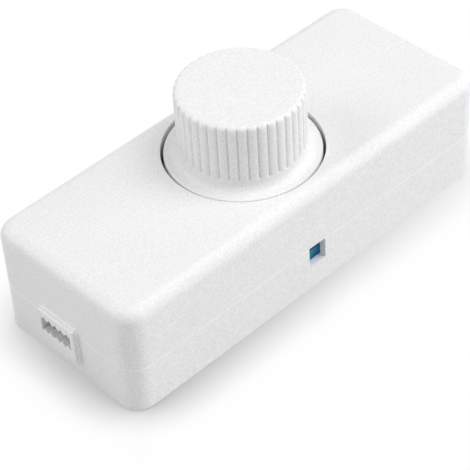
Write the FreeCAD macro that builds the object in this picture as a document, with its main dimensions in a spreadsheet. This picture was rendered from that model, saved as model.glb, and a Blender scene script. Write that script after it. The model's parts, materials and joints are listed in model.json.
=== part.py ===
import FreeCAD, Part
import math
import os
from types import SimpleNamespace

import Sketcher

# A rotary cord dimmer: a two-part moulded case with a toothed cord port at each end, a fluted
# knob on a bushed potentiometer, and a circuit board with its preset behind a side window.
# Origin: centre of the underside. X runs along the case, the window is on the -Y side, Z is up.

SIZES = {
    # Case
    "case_length": 100.0,
    "case_width": 40.0,
    "case_height": 26.0,
    "corner_radius": 4.6,
    "top_round": 2.8,
    "foot_chamfer": 0.3,
    "seam_height": 11.4,
    "seam_chamfer": 0.35,
    "wall": 1.6,
    "base_thickness": 1.8,
    "ceiling_thickness": 1.6,
    "lip_height": 1.0,
    "lip_width": 0.7,
    "lip_clearance": 0.1,
    "tool_overrun": 1.0,
    # Window for the preset
    "window_offset": 0.5,
    "window_width": 4.6,
    "window_height": 5.1,
    # Cord port: a stepped collar round a toothed slot
    "port_offset": 1.5,
    "port_flange_width": 11.8,
    "port_flange_reach": 0.5,
    "port_collar_reach": 1.1,
    "port_step": 0.5,
    "port_top": 13.1,
    "port_bottom": 4.0,
    "port_round": 0.8,
    "tooth_count": 5,
    "tooth_pitch": 1.75,
    "tooth_height": 0.9,
    "slot_gap": 3.2,
    "jaw_clearance": 0.1,
    # Screw posts
    "post_inset": 5.4,
    "post_radius": 4.0,
    "post_top": 8.0,
    "post_joint": 0.2,
    "boss_radius": 3.2,
    "boss_web": 1.2,
    "screw_seat": 4.0,
    "screw_length": 9.0,
    "screw_core_radius": 1.0,
    "screw_head_radius": 2.2,
    "screw_head_height": 1.6,
    "screw_head_round": 0.9,
    "screw_head_clearance": 0.3,
    "screw_point": 1.2,
    "screw_point_radius": 0.4,
    "screw_shank_clearance": 0.45,
    "pilot_clearance": 0.05,
    "pilot_spare": 0.6,
    # Knob and its well
    "well_radius": 16.9,
    "well_depth": 6.0,
    "well_wall": 1.6,
    "well_floor": 1.8,
    "knob_radius": 13.3,
    "knob_top": 41.5,
    "knob_top_round": 0.6,
    "knob_roof": 2.0,
    "knob_wall": 1.8,
    "skirt_gap": 0.65,
    "skirt_sink": 0.3,
    "skirt_thickness": 2.1,
    "skirt_edge_round": 0.4,
    "skirt_fillet": 2.0,
    "hub_radius": 5.0,
    "hub_clearance": 0.5,
    "flute_width": 0.7,
    "flute_depth": 0.6,
    "flute_bottom": 28.1,
    "flute_count": 40,
    # Potentiometer
    "shaft_radius": 3.0,
    "shaft_height": 36.0,
    "shaft_flat": 1.5,
    "shaft_flat_length": 8.0,
    "shaft_clearance": 0.05,
    "shaft_key_spare": 0.7,
    "bushing_radius": 3.5,
    "bushing_length": 7.0,
    "bushing_clearance": 0.15,
    "thread_clearance": 0.05,
    "washer_radius": 5.5,
    "washer_thickness": 0.5,
    "nut_flats": 10.0,
    "nut_thickness": 2.0,
    "plate_thickness": 1.0,
    "lug_place": 7.0,
    "lug_thickness": 1.0,
    "lug_width": 2.4,
    "lug_height": 1.4,
    "can_radius": 8.2,
    "can_wall": 0.5,
    "can_depth": 5.8,
    "wafer_thickness": 1.2,
    "wafer_clearance": 0.2,
    "wafer_tab_reach": 11.0,
    "wafer_tab_width": 14.0,
    "clip_radius": 4.2,
    "clip_thickness": 0.6,
    "clip_groove": 0.7,
    "clip_clearance": 0.15,
    "clip_mouth": 3.8,
    "rotor_radius": 6.4,
    "rotor_thickness": 1.6,
    "rotor_gap": 0.25,
    "stop_tab_width": 1.8,
    "stop_tab_reach": 7.2,
    "stop_width": 5.0,
    "stop_place": 6.6,
    "wiper_thickness": 0.4,
    "wiper_radius": 5.6,
    "wiper_finger_width": 1.4,
    "wiper_lift": 0.05,
    "terminal_pitch": 5.0,
    "terminal_width": 1.2,
    "terminal_thickness": 0.4,
    "terminal_reach": 12.4,
    # Circuit board
    "board_thickness": 1.6,
    "board_post_height": 1.4,
    "board_post_radius": 2.4,
    "board_post_inset": 5.0,
    "board_edge_clearance": 0.8,
    "board_end_clearance": 2.0,
    "board_screw_radius": 1.0,
    "board_screw_length": 3.6,
    "board_screw_head_radius": 1.9,
    "board_screw_head_height": 1.3,
    "board_screw_head_round": 0.7,
    "board_hole_clearance": 0.2,
    "lead_radius": 0.3,
    "lead_bend": 0.7,
    "lead_tail": 1.0,
    "pin_side": 0.5,
    # Preset behind the window
    "trimmer_width": 6.8,
    "trimmer_depth": 4.6,
    "trimmer_crown": 2.8,
    "trimmer_wall_gap": 0.2,
    "trimmer_rotor_radius": 1.8,
    "trimmer_rotor_depth": 1.6,
    "trimmer_rotor_clearance": 0.08,
    "trimmer_slot": 0.6,
    "trimmer_slot_depth": 0.7,
    "trimmer_pitch": 2.5,
    # Cord terminal blocks
    "block_depth": 8.0,
    "block_width": 10.2,
    "block_height": 10.0,
    "block_margin": 0.5,
    "block_pitch": 5.0,
    "block_entry": 3.0,
    "block_entry_height": 2.2,
    "block_entry_depth": 5.0,
    "block_screw_radius": 1.7,
    "block_screw_length": 2.6,
    "block_screw_sink": 0.4,
    "block_screw_clearance": 0.05,
    "block_screw_slot": 0.6,
    "block_screw_slot_depth": 0.8,
    "block_slope": 1.6,
    # Power switch, filter and fuse
    "filter_edge_gap": 3.1,
    "triac_x": -20.5,
    "triac_edge_gap": 3.6,
    "triac_width": 10.0,
    "triac_body_depth": 3.1,
    "triac_body_height": 9.0,
    "triac_lift": 1.5,
    "triac_tab_thickness": 1.3,
    "triac_tab_height": 15.0,
    "triac_tab_hole": 1.8,
    "triac_lead_pitch": 2.54,
    "triac_bevel": 0.6,
    "triac_notch": 0.8,
    "triac_notch_height": 1.2,
    "choke_x": 18.5,
    "choke_radius": 5.0,
    "choke_height": 10.0,
    "choke_flange": 1.0,
    "choke_post_radius": 2.2,
    "winding_radius": 4.5,
    "winding_clearance": 0.05,
    "choke_pitch": 5.0,
    "capacitor_x": -17.5,
    "capacitor_length": 13.0,
    "capacitor_depth": 6.0,
    "capacitor_height": 10.0,
    "capacitor_round": 0.6,
    "capacitor_pitch": 10.0,
    "fuse_x": 15.0,
    "fuse_edge_gap": 2.8,
    "fuse_length": 20.0,
    "fuse_lift": 3.4,
    "fuse_tube_radius": 2.4,
    "fuse_tube_wall": 0.5,
    "fuse_cap_radius": 2.6,
    "fuse_cap_length": 5.0,
    "fuse_cap_end": 0.4,
    "fuse_fit": 0.02,
    "clip_length": 4.0,
    "clip_side": 0.6,
    "clip_grip": 1.3,
    "clip_foot": 3.2,
    # Trigger circuit under the potentiometer
    "resistor_radius": 1.2,
    "resistor_length": 6.0,
    "resistor_spacing": 4.0,
    "diac_radius": 0.9,
    "diac_length": 4.0,
    "lead_span": 5.0,
}

doc = FreeCAD.newDocument("CordDimmer")
sheet = doc.addObject("Spreadsheet::Sheet", "sizes")
for row, (alias, value) in enumerate(SIZES.items(), start=1):
    sheet.set(f"A{row}", alias)
    sheet.set(f"B{row}", str(value))
    sheet.setAlias(f"B{row}", alias)
doc.recompute()


class Size:
    """A length that carries its number and the sheet expression that gives it."""

    def __init__(self, number, text):
        self.number = number
        self.text = text

    def __add__(self, other):
        other = sized(other)
        return Size(self.number + other.number, f"({self.text} + {other.text})")

    def __sub__(self, other):
        other = sized(other)
        return Size(self.number - other.number, f"({self.text} - {other.text})")

    def __mul__(self, factor):
        return Size(self.number * factor, f"({self.text} * {factor})")

    def __truediv__(self, factor):
        return Size(self.number / factor, f"({self.text} / {factor})")

    def __neg__(self):
        return Size(-self.number, f"(-1 * {self.text})")


def sized(value):
    """Give a plain number the same form as a sheet size."""
    return value if isinstance(value, Size) else Size(float(value), repr(float(value)))


S = SimpleNamespace(**{alias: Size(float(value), f"sizes.{alias}") for alias, value in SIZES.items()})
ZERO = sized(0)
NODES = {}


# Shared ways of making a piece

def bind(thing, path, size):
    """Drive one property of an object by a size."""
    thing.setExpression(path, sized(size).text)


def keep(label, piece):
    """Name a finished sub-part and list it for writing."""
    piece.Label = label
    NODES[label] = piece
    return piece


def new_body(label):
    """Start a solid that is built up feature by feature."""
    return keep(label, doc.addObject("PartDesign::Body", label))


def new_sketch(body, name, plane="XY_Plane", offset=ZERO):
    """Put a sketch on one of the body's origin planes, moved along its normal."""
    sketch = body.newObject("Sketcher::SketchObject", f"{body.Name}_{name}")
    support = next(f for f in body.Origin.OriginFeatures if f.Role == plane)
    sketch.AttachmentSupport = [(support, "")]
    sketch.MapMode = "FlatFace"
    bind(sketch, "AttachmentOffset.Base.z", offset)
    return sketch


def pin(sketch, curve, end, x, y):
    """Fix one end of a curve at a place given by two sizes."""
    for kind, size in (("DistanceX", sized(x)), ("DistanceY", sized(y))):
        number = sketch.addConstraint(Sketcher.Constraint(kind, -1, 1, curve, end, size.number))
        sketch.setExpression(f"Constraints[{number}]", size.text)


def toward(start, goal, radius):
    """The point one radius from a square corner, along the side that leads to the next corner."""
    dx = goal[0].number - start[0].number
    dy = goal[1].number - start[1].number
    if abs(dx) > abs(dy):
        return start[0] + radius * math.copysign(1, dx), start[1]
    return start[0], start[1] + radius * math.copysign(1, dy)


def outline(sketch, corners):
    """Draw a closed outline of (x, y) or (x, y, radius) corners; a rounded corner is square."""
    corners = [tuple(sized(c) for c in corner) for corner in corners]
    count = len(corners)
    ends = []
    for i, corner in enumerate(corners):
        if len(corner) == 3:
            before, after = corners[i - 1], corners[(i + 1) % count]
            ends.append((toward(corner, before, corner[2]), toward(corner, after, corner[2])))
        else:
            ends.append((corner[:2], corner[:2]))
    lines = []
    for i in range(count):
        start, stop = ends[i][1], ends[(i + 1) % count][0]
        lines.append(sketch.addGeometry(Part.LineSegment(vector(start), vector(stop)), False))
        pin(sketch, lines[i], 1, *start)
        if len(corners[(i + 1) % count]) == 3:
            pin(sketch, lines[i], 2, *stop)
    for i, corner in enumerate(corners):
        if len(corner) == 2:
            sketch.addConstraint(Sketcher.Constraint("Coincident", lines[i - 1], 2, lines[i], 1))
        else:
            round_corner(sketch, corner, ends[i], lines[i - 1], lines[i])


def vector(point):
    """The sketch point at a pair of sizes."""
    return FreeCAD.Vector(point[0].number, point[1].number, 0)


def round_corner(sketch, corner, ends, line_in, line_out):
    """Join two sides of an outline by a quarter arc."""
    entry, leave = vector(ends[0]), vector(ends[1])
    tip = vector(corner)
    centre = entry + leave - tip
    turn = (tip - entry).cross(leave - tip).z
    first, last = (entry, leave) if turn > 0 else (leave, entry)
    start = math.atan2(first.y - centre.y, first.x - centre.x)
    circle = Part.Circle(centre, FreeCAD.Vector(0, 0, 1), corner[2].number)
    arc = sketch.addGeometry(Part.ArcOfCircle(circle, start, start + math.pi / 2), False)
    entry_end, leave_end = (1, 2) if turn > 0 else (2, 1)
    sketch.addConstraint(Sketcher.Constraint("Coincident", line_in, 2, arc, entry_end))
    sketch.addConstraint(Sketcher.Constraint("Coincident", line_out, 1, arc, leave_end))
    number = sketch.addConstraint(Sketcher.Constraint("Radius", arc, corner[2].number))
    sketch.setExpression(f"Constraints[{number}]", corner[2].text)


def rectangle(x0, x1, y0, y1):
    """The four corners of a plain rectangle."""
    return [(x0, y0), (x1, y0), (x1, y1), (x0, y1)]


def rounded(half_x, half_y, radius):
    """The corners of a centred rectangle with rounded corners."""
    return [(x, y, radius) for x, y in rectangle(-half_x, half_x, -half_y, half_y)]


def circle(sketch, x, y, radius):
    """Draw a circle whose centre and radius are sizes."""
    x, y, radius = sized(x), sized(y), sized(radius)
    shape = Part.Circle(vector((x, y)), FreeCAD.Vector(0, 0, 1), radius.number)
    curve = sketch.addGeometry(shape, False)
    pin(sketch, curve, 3, x, y)
    number = sketch.addConstraint(Sketcher.Constraint("Radius", curve, radius.number))
    sketch.setExpression(f"Constraints[{number}]", radius.text)


def volume(body):
    """The volume of what a body holds so far."""
    return body.Shape.Volume if body.Tip and not body.Shape.isNull() else 0.0


def extrude(kind, body, sketch, length, flip=False, both=False):
    """Pad or pocket a sketch, and make sure that the solid grew or shrank."""
    before = volume(body)
    feature = body.newObject(f"PartDesign::{kind}", f"{sketch.Name}_{kind}")
    feature.Profile = sketch
    bind(feature, "Length", length)
    feature.Reversed = flip
    feature.Midplane = both
    doc.recompute()
    change = volume(body) - before
    if (change > 0) != (kind == "Pad") or change == 0:
        raise RuntimeError(f"{feature.Name} changed the volume by {change:.3f}")
    return feature


def pad(body, sketch, length, **options):
    """Add the sketch's prism."""
    return extrude("Pad", body, sketch, length, **options)


def pocket(body, sketch, length, **options):
    """Cut the sketch's prism, away from the sketch's normal unless flipped."""
    return extrude("Pocket", body, sketch, length, **options)


def revolve(body, sketch):
    """Turn a sketch about its own vertical axis."""
    feature = body.newObject("PartDesign::Revolution", f"{sketch.Name}_turn")
    feature.Profile = sketch
    feature.ReferenceAxis = (sketch, ["V_Axis"])
    feature.Angle = 360
    doc.recompute()
    return feature


def turned_cut(body, sketch, axis):
    """Cut what a sketch sweeps round one of its own lines, and make sure that the solid shrank."""
    before = volume(body)
    feature = body.newObject("PartDesign::Groove", f"{sketch.Name}_turned_cut")
    feature.Profile = sketch
    feature.ReferenceAxis = (sketch, [axis])
    feature.Angle = 360
    doc.recompute()
    if volume(body) >= before:
        raise RuntimeError(f"{feature.Name} cut nothing")
    return feature


def dress(kind, body, path, size, height):
    """Round or bevel every edge of the body that lies at one height."""
    tip = body.Tip
    level = height.number
    names = []
    for number, edge in enumerate(tip.Shape.Edges, start=1):
        if abs(edge.BoundBox.ZMin - level) < 1e-6 and abs(edge.BoundBox.ZMax - level) < 1e-6:
            names.append(f"Edge{number}")
    feature = body.newObject(f"PartDesign::{kind}", f"{body.Name}_{path}_{kind}_{len(body.Group)}")
    feature.Base = (tip, names)
    bind(feature, path, size)
    doc.recompute()
    return feature


def place(piece, corner):
    """Drive a primitive's position by three sizes."""
    for axis, size in zip("xyz", corner):
        bind(piece, f"Placement.Base.{axis}", size)


def box(name, corner, extent):
    """A block from its lowest corner and its three sizes."""
    piece = doc.addObject("Part::Box", name)
    for path, size in zip(("Length", "Width", "Height"), extent):
        bind(piece, path, size)
    place(piece, corner)
    return piece


UPRIGHT = FreeCAD.Rotation()
ALONG_X = FreeCAD.Rotation(FreeCAD.Vector(0, 1, 0), 90)
ALONG_Y = FreeCAD.Rotation(FreeCAD.Vector(1, 0, 0), -90)
ELBOW_FORWARD = FreeCAD.Rotation(FreeCAD.Vector(1, 0, 0), 90)
ELBOW_BACK = FreeCAD.Rotation(FreeCAD.Vector(0, 0, 1), 180).multiply(ELBOW_FORWARD)


def rod(name, start, radius, length, turn=UPRIGHT):
    """A cylinder from the centre of its first end, upright or laid along X or Y."""
    piece = doc.addObject("Part::Cylinder", name)
    piece.Placement = FreeCAD.Placement(FreeCAD.Vector(), turn)
    bind(piece, "Radius", radius)
    bind(piece, "Height", length)
    place(piece, start)
    return piece


def fuse(name, *pieces):
    """Join primitives into one solid."""
    piece = doc.addObject("Part::MultiFuse", name)
    piece.Shapes = list(pieces)
    piece.Refine = True
    return piece


def cut(name, base, *tools):
    """Take primitives away from a solid."""
    piece = doc.addObject("Part::Cut", name)
    piece.Base = base
    piece.Tool = tools[0] if len(tools) == 1 else fuse(f"{name}_tools", *tools)
    return piece


def group(name, pieces):
    """Hold like solids together, each still a solid of its own."""
    piece = doc.addObject("Part::Compound", name)
    piece.Links = list(pieces)
    return piece


# Places worked out from the driving sizes

half_length = S.case_length / 2
half_width = S.case_width / 2
inner_length = half_length - S.wall
inner_width = half_width - S.wall
inner_corner = S.corner_radius - S.wall
ceiling = S.case_height - S.ceiling_thickness
well_top = S.case_height - S.well_depth
well_under = well_top - S.well_floor
posts = [((half_length - S.post_inset) * sx, (half_width - S.post_inset) * sy)
         for sx in (-1, 1) for sy in (-1, 1)]
boss_bottom = S.post_top + S.post_joint

board_bottom = S.base_thickness + S.board_post_height
board_top = board_bottom + S.board_thickness
board_half_length = half_length - S.post_inset - S.post_radius - S.board_end_clearance
board_half_width = inner_width - S.board_edge_clearance
board_posts = [((board_half_length - S.board_post_inset) * sx, (board_half_width - S.board_post_inset) * sy)
               for sx in (-1, 1) for sy in (-1, 1)]
tail_bottom = board_bottom - S.lead_tail
triac_y = S.triac_tab_thickness + S.triac_edge_gap - board_half_width
half_clip = S.fuse_cap_radius + S.clip_side
fuse_y = half_clip + S.fuse_edge_gap - board_half_width
choke_y = board_half_width - S.filter_edge_gap - S.choke_radius
capacitor_y = board_half_width - S.filter_edge_gap - S.capacitor_depth / 2

teeth = round(S.tooth_count.number)
slot_half = S.tooth_pitch * (teeth / 2)
port_half = S.port_flange_width / 2
bushing_top = well_under + S.bushing_length
plate_under = well_under - S.plate_thickness
can_under = plate_under - S.can_depth
wafer_under = can_under + S.can_wall
wafer_top = wafer_under + S.wafer_thickness
clip_top = plate_under - S.clip_clearance
clip_under = clip_top - S.clip_thickness
rotor_top = clip_under - S.rotor_gap
rotor_under = rotor_top - S.rotor_thickness
hub_under = bushing_top + S.hub_clearance
skirt_radius = S.well_radius - S.skirt_gap
skirt_top = S.case_height - S.skirt_sink
skirt_under = skirt_top - S.skirt_thickness
trimmer_axis = S.seam_height - S.window_height / 2
trimmer_face = -(inner_width - S.trimmer_wall_gap)


# Toothed cord jaws, shared by the two shells

def zigzag(level, edge):
    """Points of a V-toothed edge across the slot, low and high by turns, from one edge to the other."""
    sides = [S.port_offset + S.tooth_pitch * (step / 2) for step in range(1 - teeth, teeth)]
    sides = [S.port_offset - edge] + sides + [S.port_offset + edge]
    return [(side, level - S.tooth_height if step % 2 == 0 else level) for step, side in enumerate(sides)]


def collar(body, name, inset, reach, low, high):
    """Pad one step of the port collar through the case, so that it stands out at both ends."""
    left = S.port_offset - port_half + inset
    right = S.port_offset + port_half - inset
    sketch = new_sketch(body, name, "YZ_Plane")
    outline(sketch, [(left, low[0]) + low[1], (right, low[0]) + low[1],
                     (right, high[0]) + high[1], (left, high[0]) + high[1]])
    pad(body, sketch, S.case_length + reach * 2, both=True)


PORT_STEPS = (("flange", ZERO, S.port_flange_reach), ("collar", S.port_step, S.port_collar_reach))

# Top cover

cover = new_body("top_cover")
sketch = new_sketch(cover, "block", offset=S.seam_height)
outline(sketch, rounded(half_length, half_width, S.corner_radius))
pad(cover, sketch, S.case_height - S.seam_height)
dress("Fillet", cover, "Radius", S.top_round, S.case_height)
for name, inset, reach in PORT_STEPS:
    collar(cover, name, inset, reach, (S.seam_height, ()),
           (S.port_top - inset, (S.port_round - inset,)))

sketch = new_sketch(cover, "cavity", offset=ceiling)
outline(sketch, rounded(inner_length, inner_width, inner_corner))
pocket(cover, sketch, ceiling - S.seam_height)
rebate = S.lip_width + S.lip_clearance
sketch = new_sketch(cover, "rebate", offset=S.seam_height + S.lip_height + S.lip_clearance)
outline(sketch, rounded(inner_length + rebate, inner_width + rebate, inner_corner + rebate))
pocket(cover, sketch, S.lip_height + S.lip_clearance)

sketch = new_sketch(cover, "well_cup", offset=well_under)
circle(sketch, 0, 0, S.well_radius + S.well_wall)
pad(cover, sketch, ceiling - well_under)
sketch = new_sketch(cover, "well", offset=S.case_height)
circle(sketch, 0, 0, S.well_radius)
pocket(cover, sketch, S.well_depth)
sketch = new_sketch(cover, "bushing_hole", offset=well_top)
circle(sketch, 0, 0, S.bushing_radius + S.bushing_clearance)
lug_slot = S.lug_width / 2 + S.bushing_clearance
outline(sketch, rectangle(-S.lug_place - S.bushing_clearance,
                          -S.lug_place + S.lug_thickness + S.bushing_clearance, -lug_slot, lug_slot))
pocket(cover, sketch, S.well_floor)

sketch = new_sketch(cover, "webs", offset=S.seam_height + S.lip_height + S.lip_clearance)
for x, y in posts:
    wall_face = inner_length * math.copysign(1, x.number)
    low, high = sorted((x, wall_face), key=lambda size: size.number)
    outline(sketch, rectangle(low, high, y - S.boss_web / 2, y + S.boss_web / 2))
pad(cover, sketch, ceiling - S.seam_height - S.lip_height - S.lip_clearance)
sketch = new_sketch(cover, "bosses", offset=boss_bottom)
for x, y in posts:
    circle(sketch, x, y, S.boss_radius)
pad(cover, sketch, ceiling - boss_bottom)
sketch = new_sketch(cover, "pilots", offset=boss_bottom)
for x, y in posts:
    circle(sketch, x, y, S.screw_core_radius + S.pilot_clearance)
pocket(cover, sketch, S.screw_seat + S.screw_length + S.pilot_spare - boss_bottom, flip=True)

jaw_edge = slot_half - S.jaw_clearance
for end, flip in ((1, False), (-1, True)):
    sketch = new_sketch(cover, f"teeth_{'front' if flip else 'rear'}", "YZ_Plane", inner_length * end)
    top = S.seam_height + S.lip_height + S.lip_clearance
    outline(sketch, zigzag(S.seam_height, jaw_edge) + [(S.port_offset + jaw_edge, top),
                                                       (S.port_offset - jaw_edge, top)])
    pad(cover, sketch, S.wall + S.port_collar_reach, flip=flip)

# Base shell

base = new_body("base_shell")
sketch = new_sketch(base, "block")
outline(sketch, rounded(half_length, half_width, S.corner_radius))
pad(base, sketch, S.seam_height)
dress("Chamfer", base, "Size", S.foot_chamfer, ZERO)
dress("Chamfer", base, "Size", S.seam_chamfer, S.seam_height)
for name, inset, reach in PORT_STEPS:
    collar(base, name, inset, reach, (S.port_bottom + inset, (S.port_round - inset,)),
           (S.seam_height, ()))

sketch = new_sketch(base, "cavity", offset=S.seam_height)
outline(sketch, rounded(inner_length, inner_width, inner_corner))
pocket(base, sketch, S.seam_height - S.base_thickness)
sketch = new_sketch(base, "lip", offset=S.seam_height)
outline(sketch, rounded(inner_length + S.lip_width, inner_width + S.lip_width, inner_corner + S.lip_width))
outline(sketch, rounded(inner_length, inner_width, inner_corner))
pad(base, sketch, S.lip_height)

sketch = new_sketch(base, "posts", offset=S.base_thickness)
for x, y in posts:
    circle(sketch, x, y, S.post_radius)
pad(base, sketch, S.post_top - S.base_thickness)
sketch = new_sketch(base, "head_wells")
for x, y in posts:
    circle(sketch, x, y, S.screw_head_radius + S.screw_head_clearance)
pocket(base, sketch, S.screw_seat, flip=True)
sketch = new_sketch(base, "screw_holes", offset=S.screw_seat)
for x, y in posts:
    circle(sketch, x, y, S.screw_core_radius + S.screw_shank_clearance)
pocket(base, sketch, S.post_top - S.screw_seat, flip=True)
sketch = new_sketch(base, "board_posts", offset=S.base_thickness)
for x, y in board_posts:
    circle(sketch, x, y, S.board_post_radius)
pad(base, sketch, S.board_post_height)
sketch = new_sketch(base, "board_pilots", offset=board_bottom)
for x, y in board_posts[1::2]:
    circle(sketch, x, y, S.board_screw_radius + S.pilot_clearance)
pocket(base, sketch, S.board_screw_length - S.board_thickness)

open_top = S.seam_height + S.lip_height + S.tool_overrun
sketch = new_sketch(base, "window", "XZ_Plane")
outline(sketch, rectangle(S.window_offset - S.window_width / 2, S.window_offset + S.window_width / 2,
                          S.seam_height - S.window_height, open_top))
pocket(base, sketch, half_width + S.tool_overrun, flip=True)
sketch = new_sketch(base, "port_slot", "YZ_Plane")
outline(sketch, zigzag(S.seam_height - S.slot_gap, slot_half) + [(S.port_offset + slot_half, open_top),
                                                                 (S.port_offset - slot_half, open_top)])
pocket(base, sketch, (half_length + S.port_collar_reach + S.tool_overrun) * 2, both=True)


# Screws

def pan_screw(name, spot, seat, core, length, head, height, rounding, shank=1):
    """A pointed screw core with a rounded pan head at its seat; the shank runs up (1) or down (-1)."""
    screw = doc.addObject("PartDesign::Body", name)
    sketch = new_sketch(screw, "profile", "XZ_Plane")
    crown = seat - height * shank
    tip = seat + length * shank
    outline(sketch, [(ZERO, crown), (head, crown, rounding), (head, seat), (core, seat),
                     (core, tip - S.screw_point * shank), (S.screw_point_radius, tip), (ZERO, tip)])
    revolve(screw, sketch)
    place(screw, spot + (ZERO,))
    return screw


keep("case_screws", group("case_screws", [
    pan_screw(f"case_screw_{number}", spot, S.screw_seat, S.screw_core_radius, S.screw_length,
              S.screw_head_radius, S.screw_head_height, S.screw_head_round)
    for number, spot in enumerate(posts)]))
keep("board_screws", group("board_screws", [
    pan_screw(f"board_screw_{number}", spot, board_top, S.board_screw_radius, S.board_screw_length,
              S.board_screw_head_radius, S.board_screw_head_height, S.board_screw_head_round, shank=-1)
    for number, spot in enumerate(board_posts[1::2])]))

# Knob: a hollow turned profile, fluted round its side

knob = new_body("knob")
bore = S.shaft_radius + S.shaft_clearance
roof = S.knob_top - S.knob_roof
sketch = new_sketch(knob, "profile", "XZ_Plane")
outline(sketch, [(bore, hub_under), (S.hub_radius, hub_under), (S.hub_radius, roof),
                 (S.knob_radius - S.knob_wall, roof), (S.knob_radius - S.knob_wall, skirt_under),
                 (skirt_radius, skirt_under), (skirt_radius, skirt_top, S.skirt_edge_round),
                 (S.knob_radius, skirt_top, S.skirt_fillet), (S.knob_radius, S.knob_top, S.knob_top_round),
                 (ZERO, S.knob_top), (ZERO, S.shaft_height), (bore, S.shaft_height)])
revolve(knob, sketch)
sketch = new_sketch(knob, "flat", offset=S.shaft_height)
outline(sketch, rectangle(S.shaft_flat + S.shaft_clearance, (S.hub_radius + bore) / 2, -bore / 2, bore / 2))
pad(knob, sketch, S.shaft_flat_length - S.shaft_key_spare, flip=True)

FIRST_FLUTE = FreeCAD.Rotation(FreeCAD.Vector(0, 0, 1), -2)
sketch = new_sketch(knob, "flute", offset=S.knob_top)
sketch.AttachmentOffset = FreeCAD.Placement(FreeCAD.Vector(), FIRST_FLUTE)
flute_floor = S.knob_radius - S.flute_depth
outline(sketch, [(flute_floor, ZERO), (flute_floor + S.flute_depth * 2, -S.flute_width),
                 (flute_floor + S.flute_depth * 2, S.flute_width)])
plain = knob.Shape.Volume
flute = pocket(knob, sketch, S.knob_top - S.flute_bottom)
one_flute = plain - knob.Shape.Volume
flutes = knob.newObject("PartDesign::PolarPattern", "knob_flutes")
flutes.Originals = [flute]
flutes.Axis = (sketch, ["N_Axis"])
flutes.Angle = 360
bind(flutes, "Occurrences", S.flute_count)
knob.Tip = flutes
doc.recompute()
if plain - knob.Shape.Volume < one_flute * (S.flute_count.number - 1):
    raise RuntimeError("a flute of the knob cut nothing")

# Potentiometer: threaded bushing on a plate, shaft with clip, rotor, wiper, track wafer and can

plate = rod("pot_plate", (ZERO, ZERO, plate_under), S.can_radius, S.plate_thickness)
bush = rod("pot_bush", (ZERO, ZERO, well_under), S.bushing_radius, S.bushing_length)
lug = box("pot_lug", (-S.lug_place, -S.lug_width / 2, well_under),
          (S.lug_thickness, S.lug_width, S.lug_height))
bush_bore = rod("pot_bore", (ZERO, ZERO, plate_under), bore, S.plate_thickness + S.bushing_length)
keep("pot_frame", cut("pot_frame", fuse("pot_frame_blank", plate, bush, lug), bush_bore))

washer_disc = rod("washer_disc", (ZERO, ZERO, well_top), S.washer_radius, S.washer_thickness)
washer_hole = rod("washer_hole", (ZERO, ZERO, well_top), S.bushing_radius + S.bushing_clearance,
                  S.washer_thickness)
keep("pot_washer", cut("pot_washer", washer_disc, washer_hole))

nut = new_body("pot_nut")
sketch = new_sketch(nut, "hexagon", offset=well_top + S.washer_thickness)
corner_reach = S.nut_flats / math.sqrt(3)
outline(sketch, [(corner_reach * math.cos(turn), corner_reach * math.sin(turn))
                 for turn in (math.radians(60 * step) for step in range(6))])
circle(sketch, 0, 0, S.bushing_radius + S.thread_clearance)
pad(nut, sketch, S.nut_thickness)
NUT_CHAMFER_SLOPE = math.tan(math.radians(30))
nut_top = well_top + S.washer_thickness + S.nut_thickness
cone_edge = corner_reach + S.tool_overrun
sketch = new_sketch(nut, "chamfer", "XZ_Plane")
outline(sketch, [(S.nut_flats / 2, nut_top), (cone_edge, nut_top),
                 (cone_edge, nut_top - (cone_edge - S.nut_flats / 2) * NUT_CHAMFER_SLOPE)])
turned_cut(nut, sketch, "V_Axis")

shaft = new_body("pot_shaft")
shaft_under = rotor_under
groove_floor = S.shaft_radius - S.clip_groove
sketch = new_sketch(shaft, "profile", "XZ_Plane")
outline(sketch, [(ZERO, shaft_under), (S.shaft_radius, shaft_under), (S.shaft_radius, clip_under),
                 (groove_floor, clip_under), (groove_floor, clip_top), (S.shaft_radius, clip_top),
                 (S.shaft_radius, S.shaft_height), (ZERO, S.shaft_height)])
revolve(shaft, sketch)
sketch = new_sketch(shaft, "flat", offset=S.shaft_height)
outline(sketch, rectangle(S.shaft_flat, S.shaft_radius + S.tool_overrun, -S.shaft_radius - S.tool_overrun,
                          S.shaft_radius + S.tool_overrun))
pocket(shaft, sketch, S.shaft_flat_length)

clip_bore = groove_floor + S.shaft_clearance
clip_disc = rod("clip_disc", (ZERO, ZERO, clip_under), S.clip_radius, S.clip_thickness)
clip_hole = rod("clip_hole", (ZERO, ZERO, clip_under), clip_bore, S.clip_thickness)
clip_mouth = box("clip_mouth", (ZERO, -S.clip_mouth / 2, clip_under),
                 (S.clip_radius + S.tool_overrun, S.clip_mouth, S.clip_thickness))
keep("shaft_clip", cut("shaft_clip", clip_disc, clip_hole, clip_mouth))

rotor_disc = rod("rotor_disc", (ZERO, ZERO, rotor_under), S.rotor_radius, S.rotor_thickness)
stop_tab = box("stop_tab", (-S.stop_tab_width / 2, ZERO, rotor_under),
               (S.stop_tab_width, S.stop_tab_reach, S.rotor_thickness))
rotor_bore = rod("rotor_bore", (ZERO, ZERO, rotor_under), bore, S.rotor_thickness)
keep("pot_rotor", cut("pot_rotor", fuse("rotor_blank", rotor_disc, stop_tab), rotor_bore))

wiper_under = rotor_under - S.wiper_thickness
wiper_disc = rod("wiper_disc", (ZERO, ZERO, wiper_under), S.wiper_radius, S.wiper_thickness)
finger_under = wafer_top + S.wiper_lift
finger = box("wiper_finger", (-S.wiper_finger_width / 2, S.shaft_radius, finger_under),
             (S.wiper_finger_width, S.wiper_radius - S.shaft_radius, rotor_under - finger_under))
wiper_bore = rod("wiper_bore", (ZERO, ZERO, finger_under), bore, rotor_under - finger_under)
keep("pot_wiper", cut("pot_wiper", fuse("wiper_blank", wiper_disc, finger), wiper_bore))

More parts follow.
